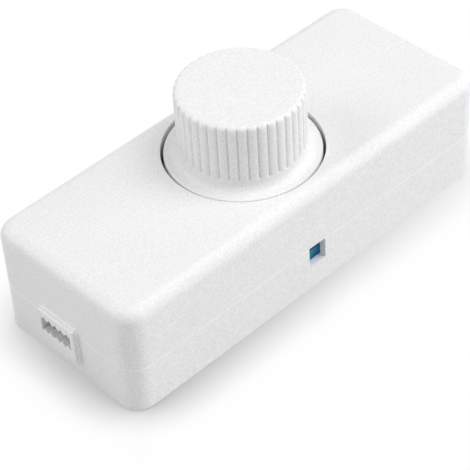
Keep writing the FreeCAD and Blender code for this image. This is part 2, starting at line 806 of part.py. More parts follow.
wafer_disc = rod("wafer_disc", (ZERO, ZERO, wafer_under), S.can_radius - S.can_wall - S.wafer_clearance,
                 S.wafer_thickness)
wafer_tab = box("wafer_tab", (-S.wafer_tab_width / 2, S.shaft_radius, wafer_under),
                (S.wafer_tab_width, S.wafer_tab_reach - S.shaft_radius, S.wafer_thickness))
keep("pot_wafer", fuse("pot_wafer", wafer_disc, wafer_tab))

can_outer = rod("can_outer", (ZERO, ZERO, can_under), S.can_radius, S.can_depth)
can_inner = rod("can_inner", (ZERO, ZERO, wafer_under), S.can_radius - S.can_wall, S.can_depth)
can_notch = box("can_notch", (-S.wafer_tab_width / 2 - S.wafer_clearance, S.shaft_radius, wafer_under),
                (S.wafer_tab_width + S.wafer_clearance * 2, S.can_radius,
                 S.wafer_thickness + S.terminal_thickness + S.wafer_clearance))
stop_block = box("stop_block", (-S.stop_width / 2, -S.can_radius + S.can_wall / 2, rotor_under),
                 (S.stop_width, S.can_radius - S.can_wall / 2 - S.stop_place, S.rotor_thickness))
stop_trim = rod("stop_trim", (ZERO, ZERO, can_under), S.can_radius, S.can_depth)
stop = doc.addObject("Part::Common", "can_stop")
stop.Base = stop_block
stop.Tool = stop_trim
keep("pot_can", fuse("pot_can", cut("can_shell", can_outer, can_inner, can_notch), stop))

terminals = []
for number in (-1, 0, 1):
    side = S.terminal_pitch * number - S.terminal_width / 2
    foot = box(f"pot_terminal_foot_{number + 1}", (side, S.can_radius + S.wafer_clearance, wafer_top),
               (S.terminal_width, S.terminal_reach - S.can_radius - S.wafer_clearance, S.terminal_thickness))
    leg = box(f"pot_terminal_leg_{number + 1}", (side, S.terminal_reach - S.terminal_thickness, tail_bottom),
              (S.terminal_width, S.terminal_thickness, wafer_top + S.terminal_thickness - tail_bottom))
    terminals.append(fuse(f"pot_terminal_{number + 1}", foot, leg))
keep("pot_terminals", group("pot_terminals", terminals))

# Trigger parts lie under the potentiometer on bent leads

leads = []
lead_spots = []


def axial(name, y, radius, length):
    """An axial part along X, lying on the board, with a bent lead at each end."""
    height = board_top + radius
    body = rod(name, (-length / 2, y, height), radius, length, ALONG_X)
    for sign, turn in ((-1, ELBOW_BACK), (1, ELBOW_FORWARD)):
        bend = (S.lead_span - S.lead_bend) * sign
        start = length / 2 if sign > 0 else bend
        run = rod(f"{name}_run_{sign + 1}", (start, y, height), S.lead_radius,
                  S.lead_span - S.lead_bend - length / 2, ALONG_X)
        elbow = doc.addObject("Part::Torus", f"{name}_elbow_{sign + 1}")
        elbow.Placement = FreeCAD.Placement(FreeCAD.Vector(), turn)
        elbow.Angle3 = 90
        bind(elbow, "Radius1", S.lead_bend)
        bind(elbow, "Radius2", S.lead_radius)
        place(elbow, (bend, y, height - S.lead_bend))
        drop = rod(f"{name}_drop_{sign + 1}", (S.lead_span * sign, y, tail_bottom), S.lead_radius,
                   height - S.lead_bend - tail_bottom)
        leads.append(fuse(f"{name}_lead_{sign + 1}", run, elbow, drop))
        lead_spots.append((S.lead_span * sign, y))
    return body


def straight_pins(name, spots):
    """Square pins that run from a part's underside straight down through the board."""
    half = S.pin_side / 2
    for number, (x, y) in enumerate(spots):
        leads.append(box(f"{name}_pin_{number}", (x - half, y - half, tail_bottom),
                         (S.pin_side, S.pin_side, board_top - tail_bottom)))
    lead_spots.extend(spots)


resistor_rows = [S.resistor_spacing * step for step in (-1, 0, 1)]
diac_row = S.resistor_spacing * -2
keep("resistors", group("resistors", [
    axial(f"resistor_{number}", y, S.resistor_radius, S.resistor_length)
    for number, y in enumerate(resistor_rows)]))
keep("diac", axial("diac", diac_row, S.diac_radius, S.diac_length))

# Power switch standing on its leads, with its cooling tab behind

body_bottom = board_top + S.triac_lift
left = S.triac_x - S.triac_width / 2
right = left + S.triac_width
triac_front = triac_y + S.triac_body_depth
triac = new_body("triac_body")
sketch = new_sketch(triac, "block", offset=body_bottom)
outline(sketch, [(left, triac_y), (right, triac_y), (right, triac_front - S.triac_bevel),
                 (right - S.triac_bevel, triac_front), (left + S.triac_bevel, triac_front),
                 (left, triac_front - S.triac_bevel)])
pad(triac, sketch, S.triac_body_height)
tab = box("triac_tab", (left, triac_y - S.triac_tab_thickness, body_bottom),
          (S.triac_width, S.triac_tab_thickness, S.triac_tab_height))
tab_hole = rod("triac_tab_hole", (S.triac_x, triac_y - S.triac_tab_thickness,
                                  body_bottom + (S.triac_body_height + S.triac_tab_height) / 2),
               S.triac_tab_hole, S.triac_tab_thickness, ALONG_Y)
triac_row = triac_y + S.triac_body_depth / 2
triac_leads = []
for number in (-1, 0, 1):
    place_x = S.triac_x + S.triac_lead_pitch * number
    triac_leads.append(rod(f"triac_lead_{number + 1}", (place_x, triac_row, tail_bottom), S.lead_radius,
                           body_bottom - tail_bottom))
    lead_spots.append((place_x, triac_row))
notch_bottom = body_bottom + S.triac_body_height
tab_notches = [box(f"triac_notch_{number}", (edge, triac_y - S.triac_tab_thickness, notch_bottom),
                   (S.triac_notch, S.triac_tab_thickness, S.triac_notch_height))
               for number, edge in enumerate((left, right - S.triac_notch))]
keep("triac_leadframe", group("triac_leadframe", [
    cut("triac_tab_drilled", tab, tab_hole, *tab_notches)] + triac_leads))

# Filter choke: a drum core with its winding, and the film capacitor

drum = new_body("choke_core")
sketch = new_sketch(drum, "profile", "XZ_Plane")
drum_top = board_top + S.choke_height
coil_low = board_top + S.choke_flange
coil_high = drum_top - S.choke_flange
outline(sketch, [(ZERO, board_top), (S.choke_radius, board_top), (S.choke_radius, coil_low),
                 (S.choke_post_radius, coil_low), (S.choke_post_radius, coil_high),
                 (S.choke_radius, coil_high), (S.choke_radius, drum_top), (ZERO, drum_top)])
revolve(drum, sketch)
place(drum, (S.choke_x, choke_y, ZERO))
coil_base = (S.choke_x, choke_y, coil_low)
coil_height = coil_high - coil_low
coil_outer = rod("winding_outer", coil_base, S.winding_radius, coil_height)
coil_inner = rod("winding_inner", coil_base, S.choke_post_radius + S.winding_clearance, coil_height)
keep("choke_winding", cut("choke_winding", coil_outer, coil_inner))
straight_pins("choke", [(S.choke_x + S.choke_pitch / 2 * side, choke_y) for side in (-1, 1)])

capacitor = new_body("film_capacitor")
sketch = new_sketch(capacitor, "block", offset=board_top)
outline(sketch, [(S.capacitor_x + x, capacitor_y + y, S.capacitor_round) for x, y in rectangle(
    -S.capacitor_length / 2, S.capacitor_length / 2, -S.capacitor_depth / 2, S.capacitor_depth / 2)])
pad(capacitor, sketch, S.capacitor_height)
dress("Fillet", capacitor, "Radius", S.capacitor_round, board_top + S.capacitor_height)
straight_pins("capacitor", [(S.capacitor_x + S.capacitor_pitch / 2 * side, capacitor_y) for side in (-1, 1)])

# Fuse: a glass tube in two end caps, held by two clips

fuse_axis = board_top + S.fuse_lift
fuse_left = S.fuse_x - S.fuse_length / 2
tube_left = fuse_left + S.fuse_cap_end
tube_length = S.fuse_length - S.fuse_cap_end * 2
glass = rod("fuse_glass", (tube_left, fuse_y, fuse_axis), S.fuse_tube_radius, tube_length, ALONG_X)
hollow = rod("fuse_hollow", (tube_left, fuse_y, fuse_axis), S.fuse_tube_radius - S.fuse_tube_wall,
             tube_length, ALONG_X)
keep("fuse_tube", cut("fuse_tube", glass, hollow))
caps = []
clips = []
for side, cap_left in (("front", fuse_left), ("rear", fuse_left + S.fuse_length - S.fuse_cap_length)):
    shell = rod(f"fuse_cap_shell_{side}", (cap_left, fuse_y, fuse_axis), S.fuse_cap_radius, S.fuse_cap_length,
                ALONG_X)
    bore_left = tube_left if side == "front" else cap_left
    cup = rod(f"fuse_cap_bore_{side}", (bore_left, fuse_y, fuse_axis), S.fuse_tube_radius + S.fuse_fit,
              S.fuse_cap_length - S.fuse_cap_end, ALONG_X)
    caps.append(cut(f"fuse_cap_{side}", shell, cup))
    clip_left = cap_left + (S.fuse_cap_length - S.clip_length) / 2
    strip = rod(f"fuse_clip_strip_{side}", (clip_left, fuse_y, fuse_axis), half_clip, S.clip_length, ALONG_X)
    foot = box(f"fuse_clip_foot_{side}", (clip_left, fuse_y - S.clip_foot / 2, board_top),
               (S.clip_length, S.clip_foot, S.fuse_lift))
    seat = rod(f"fuse_clip_seat_{side}", (clip_left, fuse_y, fuse_axis), S.fuse_cap_radius + S.fuse_fit,
               S.clip_length, ALONG_X)
    mouth = box(f"fuse_clip_mouth_{side}", (clip_left, fuse_y - half_clip, fuse_axis + S.clip_grip),
                (S.clip_length, half_clip * 2, half_clip))
    clips.append(cut(f"fuse_clip_{side}", fuse(f"fuse_clip_blank_{side}", strip, foot), seat, mouth))
    straight_pins(f"fuse_{side}", [(clip_left + S.clip_length / 2, fuse_y)])
keep("fuse_caps", group("fuse_caps", caps))
keep("fuse_clips", group("fuse_clips", clips))

# Preset behind the window, turned by a screwdriver

trimmer_top = trimmer_axis + S.trimmer_crown
shell = box("trimmer_shell", (S.window_offset - S.trimmer_width / 2, trimmer_face, board_top),
            (S.trimmer_width, S.trimmer_depth, trimmer_top - board_top))
socket = rod("trimmer_socket", (S.window_offset, trimmer_face, trimmer_axis),
             S.trimmer_rotor_radius + S.trimmer_rotor_clearance,
             S.trimmer_rotor_depth + S.trimmer_rotor_clearance, ALONG_Y)
keep("trimmer_body", cut("trimmer_body", shell, socket))
disc = rod("trimmer_disc", (S.window_offset, trimmer_face, trimmer_axis), S.trimmer_rotor_radius,
           S.trimmer_rotor_depth, ALONG_Y)
slot = box("trimmer_slot", (S.window_offset - S.trimmer_rotor_radius, trimmer_face,
                            trimmer_axis - S.trimmer_slot / 2),
           (S.trimmer_rotor_radius * 2, S.trimmer_slot_depth, S.trimmer_slot))
keep("trimmer_rotor", cut("trimmer_rotor", disc, slot))
straight_pins("trimmer", [(S.window_offset + S.trimmer_pitch * step, trimmer_face + S.trimmer_depth / 2)
                           for step in (-1, 0, 1)])

# Terminal blocks, one at each cord port

block_screws = []


def terminal_block(label, end):
    """A two-way screw terminal with its wire entries towards the port."""
    outer = (board_half_length - S.block_margin) * end
    inner = outer - S.block_depth * end
    spot = (outer + inner) / 2
    front = S.port_offset - S.block_width / 2
    top = board_top + S.block_height
    blank = doc.addObject("PartDesign::Body", f"{label}_blank")
    sketch = new_sketch(blank, "profile", "XZ_Plane", -front)
    outline(sketch, [(outer, board_top), (outer, top - S.block_slope), (outer - S.block_slope * end, top),
                     (inner, top), (inner, board_top)])
    pad(blank, sketch, S.block_width, flip=True)
    tools = []
    for way in (-1, 1):
        centre = S.port_offset + S.block_pitch / 2 * way
        mouth = outer if end < 0 else outer - S.block_entry_depth
        tools.append(box(f"{label}_entry_{way + 1}",
                         (mouth, centre - S.block_entry / 2, board_top + S.block_entry_height),
                         (S.block_entry_depth, S.block_entry, S.block_entry)))
        sink = top - S.block_screw_sink - S.block_screw_length
        tools.append(rod(f"{label}_screw_hole_{way + 1}", (spot, centre, sink),
                         S.block_screw_radius + S.block_screw_clearance,
                         S.block_screw_length + S.block_screw_sink))
        plug = rod(f"{label}_plug_{way + 1}", (spot, centre, sink), S.block_screw_radius,
                   S.block_screw_length)
        groove = box(f"{label}_groove_{way + 1}",
                     (spot - S.block_screw_radius, centre - S.block_screw_slot / 2,
                      sink + S.block_screw_length - S.block_screw_slot_depth),
                     (S.block_screw_radius * 2, S.block_screw_slot, S.block_screw_slot_depth))
        block_screws.append(cut(f"{label}_screw_{way + 1}", plug, groove))
        straight_pins(f"{label}_{way + 1}", [(spot, centre)])
    keep(label, cut(label, blank, *tools))


terminal_block("line_terminal_block", -1)
terminal_block("load_terminal_block", 1)
keep("terminal_screws", group("terminal_screws", block_screws))

keep("component_leads", group("component_leads", leads))

# Circuit board, drilled for its screws and for every lead

board = new_body("circuit_board")
sketch = new_sketch(board, "board", offset=board_bottom)
outline(sketch, rectangle(-board_half_length, board_half_length, -board_half_width, board_half_width))
for x, y in board_posts[1::2]:
    circle(sketch, x, y, S.board_screw_radius + S.board_hole_clearance)
lead_hole = S.lead_radius + S.board_hole_clearance
for x, y in lead_spots:
    circle(sketch, x, y, lead_hole)
for number in (-1, 0, 1):
    circle(sketch, S.terminal_pitch * number, S.terminal_reach - S.terminal_thickness / 2,
           S.terminal_width / 2 + S.board_hole_clearance)
pad(board, sketch, S.board_thickness)

# Every object is sound before anything is written

doc.recompute()
for thing in doc.Objects:
    if any(word in thing.State for word in ("Invalid", "Error")):
        raise RuntimeError(f"{thing.Label} failed: {thing.State}")
for label, piece in NODES.items():
    if piece.Shape.isNull() or not piece.Shape.isValid() or not piece.Shape.Solids:
        raise RuntimeError(f"{label} has no valid solid")
os.makedirs("parts", exist_ok=True)
for label, piece in NODES.items():
    piece.Shape.exportStep(f"parts/{label}.step")
print(len(NODES), "sub-parts written")
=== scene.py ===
"""Rotary cord dimmer: finishes for its solids, finer pieces where they show, and a plain studio round it.

Sizes are in millimetres for the pieces and, unless a name ends in _mm, in metres for the floor, the lamps
and the camera, whose angles are in degrees.
"""

import json
import logging
import math
from dataclasses import dataclass
from enum import Enum

import bmesh
import bpy
import numpy as np
from bpy.types import Material, Node, NodeSocket, NodeTree
from mathutils import Matrix, Vector


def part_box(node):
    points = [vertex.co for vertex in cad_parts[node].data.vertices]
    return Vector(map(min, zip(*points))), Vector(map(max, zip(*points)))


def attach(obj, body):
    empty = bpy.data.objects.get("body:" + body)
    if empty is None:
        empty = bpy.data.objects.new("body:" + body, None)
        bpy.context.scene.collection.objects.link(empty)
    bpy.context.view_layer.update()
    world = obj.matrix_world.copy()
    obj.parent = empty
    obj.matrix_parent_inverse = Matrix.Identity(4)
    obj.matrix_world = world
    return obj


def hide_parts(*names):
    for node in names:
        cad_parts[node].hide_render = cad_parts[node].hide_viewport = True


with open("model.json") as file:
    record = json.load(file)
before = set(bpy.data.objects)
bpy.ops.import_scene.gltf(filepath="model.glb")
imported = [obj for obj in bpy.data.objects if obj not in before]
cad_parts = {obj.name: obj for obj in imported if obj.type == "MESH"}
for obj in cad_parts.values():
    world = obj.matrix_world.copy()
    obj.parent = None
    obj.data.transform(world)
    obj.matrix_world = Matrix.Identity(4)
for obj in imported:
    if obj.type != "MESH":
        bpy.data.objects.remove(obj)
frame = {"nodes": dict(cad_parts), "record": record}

MM = 0.001  # one millimetre in metres
MERGE_GAP = 1e-4  # points nearer than this, in millimetres, are one point
WAVE_PERIOD = math.pi / 10  # a wave texture of scale 1 repeats over this length
SHARP_ANGLE = math.radians(38)  # steeper edges stay crisp
WHITE = "#FFFFFF"

log = logging.getLogger("cord_dimmer")


class Axis(Enum):
    """The way a turned shape points: the order in which its own x, y and z become the part's."""

    X = (2, 0, 1)
    Z = (0, 1, 2)


class Socket(Enum):
    """The places of a colour mix's sockets, which share their names with other kinds of mix."""

    FACTOR = 0
    FIRST = 6
    SECOND = 7
    RESULT = 2


class Shank(Enum):
    """The way a screw's shank runs from its head."""

    UP = 1
    DOWN = -1


# Colour and shader nodes


def linear(code: str) -> tuple[float, float, float, float]:
    """Turn an sRGB hex colour into linear light by the standard's curve: a straight foot, then a power.

    Args:
        code: A colour such as "#F0EFEC".

    Returns:
        Red, green, blue and alpha.
    """
    srgb = np.array([int(code[place:place + 2], 16) for place in (1, 3, 5)]) / 255.0
    light = np.where(srgb <= 0.04045, srgb / 12.92, ((srgb + 0.055) / 1.055) ** 2.4)
    return (*light.tolist(), 1.0)


def per_mm(size: float) -> float:
    """Give the texture scale at which a pattern repeats about once in a size in millimetres."""
    return 1.0 / (size * MM)


def add_node(tree: NodeTree, kind: str, inputs: dict | None = None, **settings) -> Node:
    """Add one node with its settings, values and links.

    Args:
        tree: The node tree to add to.
        kind: Blender's name of the node.
        inputs: Values or sockets for its inputs, by name or place.
        settings: Properties of the node itself.

    Returns:
        The new node.
    """
    node = tree.nodes.new(kind)
    for name, value in settings.items():
        setattr(node, name, value)
    for name, value in (inputs or {}).items():
        if isinstance(value, NodeSocket):
            tree.links.new(value, node.inputs[name])
        else:
            node.inputs[name].default_value = value
    return node


@dataclass(frozen=True)
class Surface:
    """A material at work: its node tree, its shader and the piece's own coordinates."""

    material: Material
    tree: NodeTree
    shader: Node
    place: NodeSocket

    def noise(self, sizes_mm: tuple[float, ...], octaves: float, roughness: float = 0.5) -> NodeSocket:
        """Add a noise texture.

        Args:
            sizes_mm: Size of its blots along each axis.
            octaves: How many finer layers lie over the coarsest.
            roughness: How much each finer layer counts.

        Returns:
            Its grey value.
        """
        drawn = add_node(self.tree, "ShaderNodeMapping", {
            "Vector": self.place, "Scale": tuple(per_mm(size) for size in sizes_mm)})
        return add_node(self.tree, "ShaderNodeTexNoise", {
            "Vector": drawn.outputs["Vector"], "Scale": 1.0, "Detail": octaves,
            "Roughness": roughness}).outputs["Fac"]

    def mix(self, share: NodeSocket | float, first: NodeSocket | tuple, second: NodeSocket | tuple,
            blend: str = "MIX") -> NodeSocket:
        """Mix two colours.

        Args:
            share: The second colour's share.
            first: The first colour.
            second: The second colour.
            blend: Blender's name of the way they mix.

        Returns:
            The mixed colour.
        """
        return add_node(self.tree, "ShaderNodeMix", {
            Socket.FACTOR.value: share, Socket.FIRST.value: first, Socket.SECOND.value: second},
            data_type="RGBA", blend_type=blend).outputs[Socket.RESULT.value]

    def feed(self, name: str, value: NodeSocket) -> None:
        """Let one of the shader's inputs follow a socket."""
        self.tree.links.new(value, self.shader.inputs[name])

    def overlay(self, share: NodeSocket, colour: NodeSocket | tuple) -> None:
        """Lay a colour over the one that the shader follows."""
        base = self.shader.inputs["Base Color"].links[0].from_socket
        self.feed("Base Color", self.mix(share, base, colour))

    def vary_roughness(self, value: NodeSocket, spread: float) -> None:
        """Let the roughness follow a grey value.

        Args:
            value: The grey value.
            spread: How far the roughness goes down and up from its own number.
        """
        middle = self.shader.inputs["Roughness"].default_value
        self.feed("Roughness", add_node(self.tree, "ShaderNodeMapRange", {
            "Value": value, "To Min": middle - spread, "To Max": middle + spread}).outputs["Result"])

    def emboss(self, height: NodeSocket, depth_mm: float) -> None:
        """Lay a relief over the one that the shader has.

        Args:
            height: The relief's grey value.
            depth_mm: How far white stands above black.
        """
        inputs = {"Height": height, "Strength": 1.0, "Distance": depth_mm * MM}
        for link in self.shader.inputs["Normal"].links:
            inputs["Normal"] = link.from_socket
        self.feed("Normal", add_node(self.tree, "ShaderNodeBump", inputs).outputs["Normal"])


# Finishes


@dataclass(frozen=True)
class Finish:
    """What every finish has: its name, its colour and the plain numbers of its shader."""

    name: str
    colour: str
    roughness: float
    metallic: float = 0.0
    ior: float = 1.5

    def surface(self) -> Surface:
        """Make the material with its plain numbers set.

        Returns:
            The surface, to which each kind of finish adds its own.
        """
        material = bpy.data.materials.new(self.name)
        material.use_nodes = True
        material.diffuse_color = linear(self.colour)
        tree = material.node_tree
        shader = tree.nodes["Principled BSDF"]
        plain = {"Base Color": linear(self.colour), "Roughness": self.roughness,
                 "Metallic": self.metallic, "IOR": self.ior}
        for name, value in plain.items():
            shader.inputs[name].default_value = value
        return Surface(material, tree, shader, add_node(tree, "ShaderNodeTexCoord").outputs["Object"])

    def material(self) -> Material:
        """Make the material."""
        return self.surface().material


@dataclass(frozen=True)
class MouldedPlastic(Finish):
    """Plastic from a mould: a grained or polished skin, and a faint flow mottle in its colour."""

    mottle_colour: str = WHITE
    mottle_mm: float = 9.0
    mottle_octaves: float = 3.0
    grain_mm: float = 0.4
    grain_octaves: float = 2.0
    grain_contrast: float = 0.6
    grain_depth_mm: float = 0.01
    grain_shade: float = 0.05
    pit_range: tuple[float, float] = (0.25, 0.75)
    roughness_spread: float = 0.06

    def surface(self) -> Surface:
        """Build mottle and the grain's shaded pits into the colour, and the grain into roughness and bump.

        Returns:
            The surface.
        """
        surface = super().surface()
        flow = surface.noise((self.mottle_mm,) * 3, self.mottle_octaves)
        tint = surface.mix(flow, linear(self.colour), linear(self.mottle_colour))
        grain = surface.noise((self.grain_mm,) * 3, self.grain_octaves, self.grain_contrast)
        pits = add_node(surface.tree, "ShaderNodeMapRange", {
            "Value": grain, "From Min": self.pit_range[0], "From Max": self.pit_range[1],
            "To Min": 1.0 - self.grain_shade})
        surface.feed("Base Color", surface.mix(1.0, tint, pits.outputs["Result"], "MULTIPLY"))
        surface.vary_roughness(grain, self.roughness_spread)
        surface.emboss(grain, self.grain_depth_mm)
        return surface


@dataclass(frozen=True)
class WorkedMetal(Finish):
    """Plated or drawn metal: fine streaks along one direction and a cloudy plating over them."""

    metallic: float = 1.0
    cloud_colour: str = WHITE
    cloud_mm: float = 3.0
    cloud_octaves: float = 4.0
    streak_mm: tuple[float, float, float] = (0.15, 0.15, 0.15)
    streak_octaves: float = 3.0
    streak_depth_mm: float = 0.002
    roughness_spread: float = 0.1

    def surface(self) -> Surface:
        """Build the plating's clouds into the colour, and the tool's streaks into roughness and bump.

        Returns:
            The surface.
        """
        surface = super().surface()
        cloud = surface.noise((self.cloud_mm,) * 3, self.cloud_octaves)
        surface.feed("Base Color", surface.mix(cloud, linear(self.colour), linear(self.cloud_colour)))
        streak = surface.noise(self.streak_mm, self.streak_octaves)
        surface.vary_roughness(streak, self.roughness_spread)
        surface.emboss(streak, self.streak_depth_mm)
        return surface


@dataclass(frozen=True)
class WovenLaminate(MouldedPlastic):
    """Glass cloth in resin: warp and weft show as a fine relief of crossing threads under the mask."""

    thread_mm: float = 0.6
    thread_depth_mm: float = 0.02

    def surface(self) -> Surface:
        """Lay the product of two sets of bands, one along each side of the board, over the plain skin.

        Returns:
            The surface.
        """
        surface = super().surface()
        scale = per_mm(self.thread_mm) * WAVE_PERIOD
        warp, weft = (add_node(surface.tree, "ShaderNodeTexWave", {"Vector": surface.place, "Scale": scale},
                               bands_direction=side).outputs["Fac"] for side in ("X", "Y"))
        cloth = add_node(surface.tree, "ShaderNodeMath", {0: warp, 1: weft}, operation="MULTIPLY").outputs[0]
        surface.emboss(cloth, self.thread_depth_mm)
        surface.overlay(cloth, linear(self.mottle_colour))
        return surface


@dataclass(frozen=True)
class BandedLacquer(MouldedPlastic):
    """Lacquer with painted rings across the part, which lies along X about the middle of the board."""

    length_mm: float = 6.0
    ring_mm: float = 0.55
    rings: tuple[tuple[float, str], ...] = ()

    def surface(self) -> Surface:
        """Paint each ring over the lacquer by a ramp along X whose opacity steps from 0 to 1 and back.

        Returns:
            The surface.
        """
        surface = super().surface()
        tree, half = surface.tree, self.length_mm / 2 * MM
        along = add_node(tree, "ShaderNodeSeparateXYZ", {"Vector": surface.place}).outputs["X"]
        share = add_node(tree, "ShaderNodeMapRange", {"Value": along, "From Min": -half, "From Max": half})
        ramp = add_node(tree, "ShaderNodeValToRGB", {"Fac": share.outputs["Result"]})
        stops = ramp.color_ramp
        stops.interpolation = "CONSTANT"
        bare = (*linear(self.colour)[:3], 0.0)
        for stop in stops.elements:
            stop.color = bare
        for start, colour in self.rings:
            stops.elements.new(start / self.length_mm).color = linear(colour)
            stops.elements.new((start + self.ring_mm) / self.length_mm).color = bare
        surface.overlay(ramp.outputs["Alpha"], ramp.outputs["Color"])
        return surface


@dataclass(frozen=True)
class DrawnGlass(Finish):
    """Clear glass drawn into a tube: faint lines along its length bend what is seen through it."""

    line_mm: tuple[float, float, float] = (30.0, 0.5, 0.5)
    line_octaves: float = 2.0
    line_depth_mm: float = 0.004

    def surface(self) -> Surface:
        """Let light through and give the skin the long ripples of the draw.

        Returns:
            The surface.
        """
        surface = super().surface()
        surface.shader.inputs["Transmission Weight"].default_value = 1.0
        surface.emboss(surface.noise(self.line_mm, self.line_octaves), self.line_depth_mm)
        return surface


FINISHES = {
    # White ABS from a finely spark-eroded mould: matt, with a close grain that breaks up every highlight.
    # The real grain is about 0.1 mm and is drawn coarser, so that it shows at the picture's size.
    "case_plastic": MouldedPlastic(
        "abs_white_spark_eroded", "#F7F7F7", 0.5, ior=1.53, mottle_colour="#FBFBFB", grain_mm=0.42,
        grain_depth_mm=0.02, grain_shade=0.19),
    # The same ABS from a smoother cavity, so the knob's edges shine a little more.
    # Its grain is drawn coarser in the same way.
    "knob_plastic": MouldedPlastic(
        "abs_white_fine_moulded", "#F8F8F8", 0.45, ior=1.53, mottle_colour="#FCFCFC", grain_mm=0.4,
        grain_depth_mm=0.02, grain_shade=0.18),
    # Glossy blue thermoset of a trimmer: a smooth skin and a deep even colour.
    "preset_plastic": MouldedPlastic(
        "thermoset_blue_moulded", "#0E74A0", 0.3, mottle_colour="#0C7DAC", mottle_mm=1.5, grain_mm=0.25,
        grain_depth_mm=0.003),
    # Zinc plating on steel: bright, bluish and a little cloudy.
    "plated_steel": WorkedMetal("steel_zinc_plated", "#C4C7CA", 0.3, cloud_colour="#D2D4D6"),
    # Springy bronze strip, rolled: warm and satin.
    "contact_metal": WorkedMetal(
        "bronze_strip_rolled", "#C9A268", 0.32, cloud_colour="#D6B27C", streak_mm=(2.0, 0.12, 0.12)),
    # Woven glass laminate under a green solder mask: the weave just shows through.
    "board_laminate": WovenLaminate(
        "glass_laminate_green_masked", "#2C5A38", 0.38, mottle_colour="#3A7047", mottle_mm=1.0,
        grain_mm=0.5, grain_depth_mm=0.008),
    # Phenolic paper of a potentiometer's track: brown and slightly fibrous.
    "track_laminate": MouldedPlastic(
        "phenolic_paper_pressed", "#7A5232", 0.5, mottle_colour="#8A613D", mottle_mm=1.2, grain_mm=0.3,
        grain_depth_mm=0.006),
    # Grey-green polyamide of a terminal block: satin, with a soft flow mottle.
    "terminal_plastic": MouldedPlastic(
        "polyamide_grey_moulded", "#8E9A94", 0.42, mottle_colour="#98A49E", mottle_mm=4.0, grain_mm=0.3,
        grain_depth_mm=0.006),
    # Black epoxy of a power package: dull, with the bloom of a transfer mould.
    "black_epoxy": MouldedPlastic(
        "epoxy_black_transfer_moulded", "#1D1E20", 0.55, mottle_colour="#26272A", mottle_mm=2.0,
        grain_mm=0.2, grain_depth_mm=0.008),
    # Pressed and fired ferrite: dark grey, slightly speckled and matt.
    "ferrite": MouldedPlastic(
        "ferrite_pressed_fired", "#3A3A3C", 0.6, ior=2.0, mottle_colour="#4B4A4A", mottle_mm=0.5,
        grain_mm=0.25, grain_depth_mm=0.01),
    # Enamelled copper wire: a clear brown varnish over bright metal.
    "copper_wire": WorkedMetal(
        "copper_wire_enamelled", "#B4622E", 0.28, cloud_colour="#C27440", cloud_mm=1.5),
    # Dipped film capacitor: a thick glossy epoxy coat in dull red.
    "film_case": MouldedPlastic(
        "epoxy_red_dipped", "#9A3A22", 0.22, mottle_colour="#A8452A", mottle_mm=3.0, grain_mm=1.2,
        grain_depth_mm=0.02),
    # Drawn soda glass of the fuse tube: clear, faintly green, with long ripples.
    "fuse_glass": DrawnGlass("soda_glass_drawn", "#F4F8F6", 0.03, ior=1.52),
    # Lacquered resistor body: smooth beige paint on a ceramic rod, with brown, black, orange and gold rings.
    "resistor_lacquer": BandedLacquer(
        "lacquer_beige_dipped", "#C9B48A", 0.28, mottle_colour="#D3BF97", mottle_mm=2.0, grain_mm=0.6,
        grain_depth_mm=0.006,
        rings=((0.8, "#6B3F20"), (1.9, "#1B1B1B"), (2.7, "#D9722B"), (4.6, "#B08D3C"))),
}

# The same ABS where the mould is left smooth, beside the parting line, and made lighter than the grain,
# partly as a painted highlight there; on the ports' ledges it is a painted highlight only.
LAND_AND_HIGHLIGHT_PLASTIC = MouldedPlastic(
    "abs_white_smooth_land_painted_highlight", "#FCFCFC", 0.4, ior=1.53, grain_mm=0.3, grain_depth_mm=0.002,
    grain_shade=0.01)
# Tin solder set from the melt: bright, smooth and slightly frosted.
SOLDER = WorkedMetal(
    "solder_tin_set", "#C6C8C9", 0.24, cloud_colour="#B4B7B9", cloud_mm=0.6, streak_mm=(0.3, 0.3, 0.3))


# Shapes as grids of points


def rounded_profile(corners: list[tuple[float, float, float]], steps: int = 8) -> np.ndarray:
    """Round the corners of an open outline.

    Each rounded corner becomes an arc that touches both its sides: its centre lies on the corner's
    bisector, and its points turn evenly from one touching point to the other.

    Args:
        corners: Radius, height and rounding of each corner, in millimetres.
        steps: Spans of each arc.

    Returns:
        Points of (radius, height).
    """
    flat = np.array(corners, float)
    parts = [flat[:1, :2]]
    for before, corner, after in zip(flat[:-2], flat[1:-1], flat[2:]):
        tip, rounding = corner[:2], corner[2]
        if rounding == 0:
            parts.append(tip[None])
            continue
        back = (before[:2] - tip) / np.linalg.norm(before[:2] - tip)
        ahead = (after[:2] - tip) / np.linalg.norm(after[:2] - tip)
        half = math.acos(np.clip(back @ ahead, -1, 1)) / 2
        bisector = (back + ahead) / np.linalg.norm(back + ahead)
        centre = tip + bisector * rounding / math.sin(half)
        first, last = (tip + side * rounding / math.tan(half) - centre for side in (back, ahead))
        sweep = math.pi - 2 * half
        share = np.linspace(0, 1, steps + 1)[:, None]
        arc = (np.sin((1 - share) * sweep) * first + np.sin(share * sweep) * last) / math.sin(sweep)
        parts.append(centre + arc)
    parts.append(flat[-1:, :2])
    return np.vstack(parts)


def polar(radius: np.ndarray, height: np.ndarray, angle: np.ndarray,
          centre: tuple[float, float, float] = (0.0, 0.0, 0.0), axis: Axis = Axis.Z) -> np.ndarray:
    """Place a grid by cylinder coordinates: r cos a and r sin a across, h along, then moved to the centre.

    Args:
        radius: Distance from the axis, spread over rows and columns.
        height: Distance along the axis, spread the same way.
        angle: Angle of each column.
        centre: Where the axis starts.
        axis: Which way the axis points.

    Returns:
        Points of the grid, rows by columns by three.
    """
    radius, height, angle = np.broadcast_arrays(radius, height, angle)
    own = np.stack([radius * np.cos(angle), radius * np.sin(angle), height], axis=-1)
    return own[..., list(axis.value)] + np.array(centre)


def full_turn(columns: int) -> np.ndarray:
    """Give the angles of one turn, its end on its start."""
    return np.linspace(0, 2 * math.pi, columns + 1)


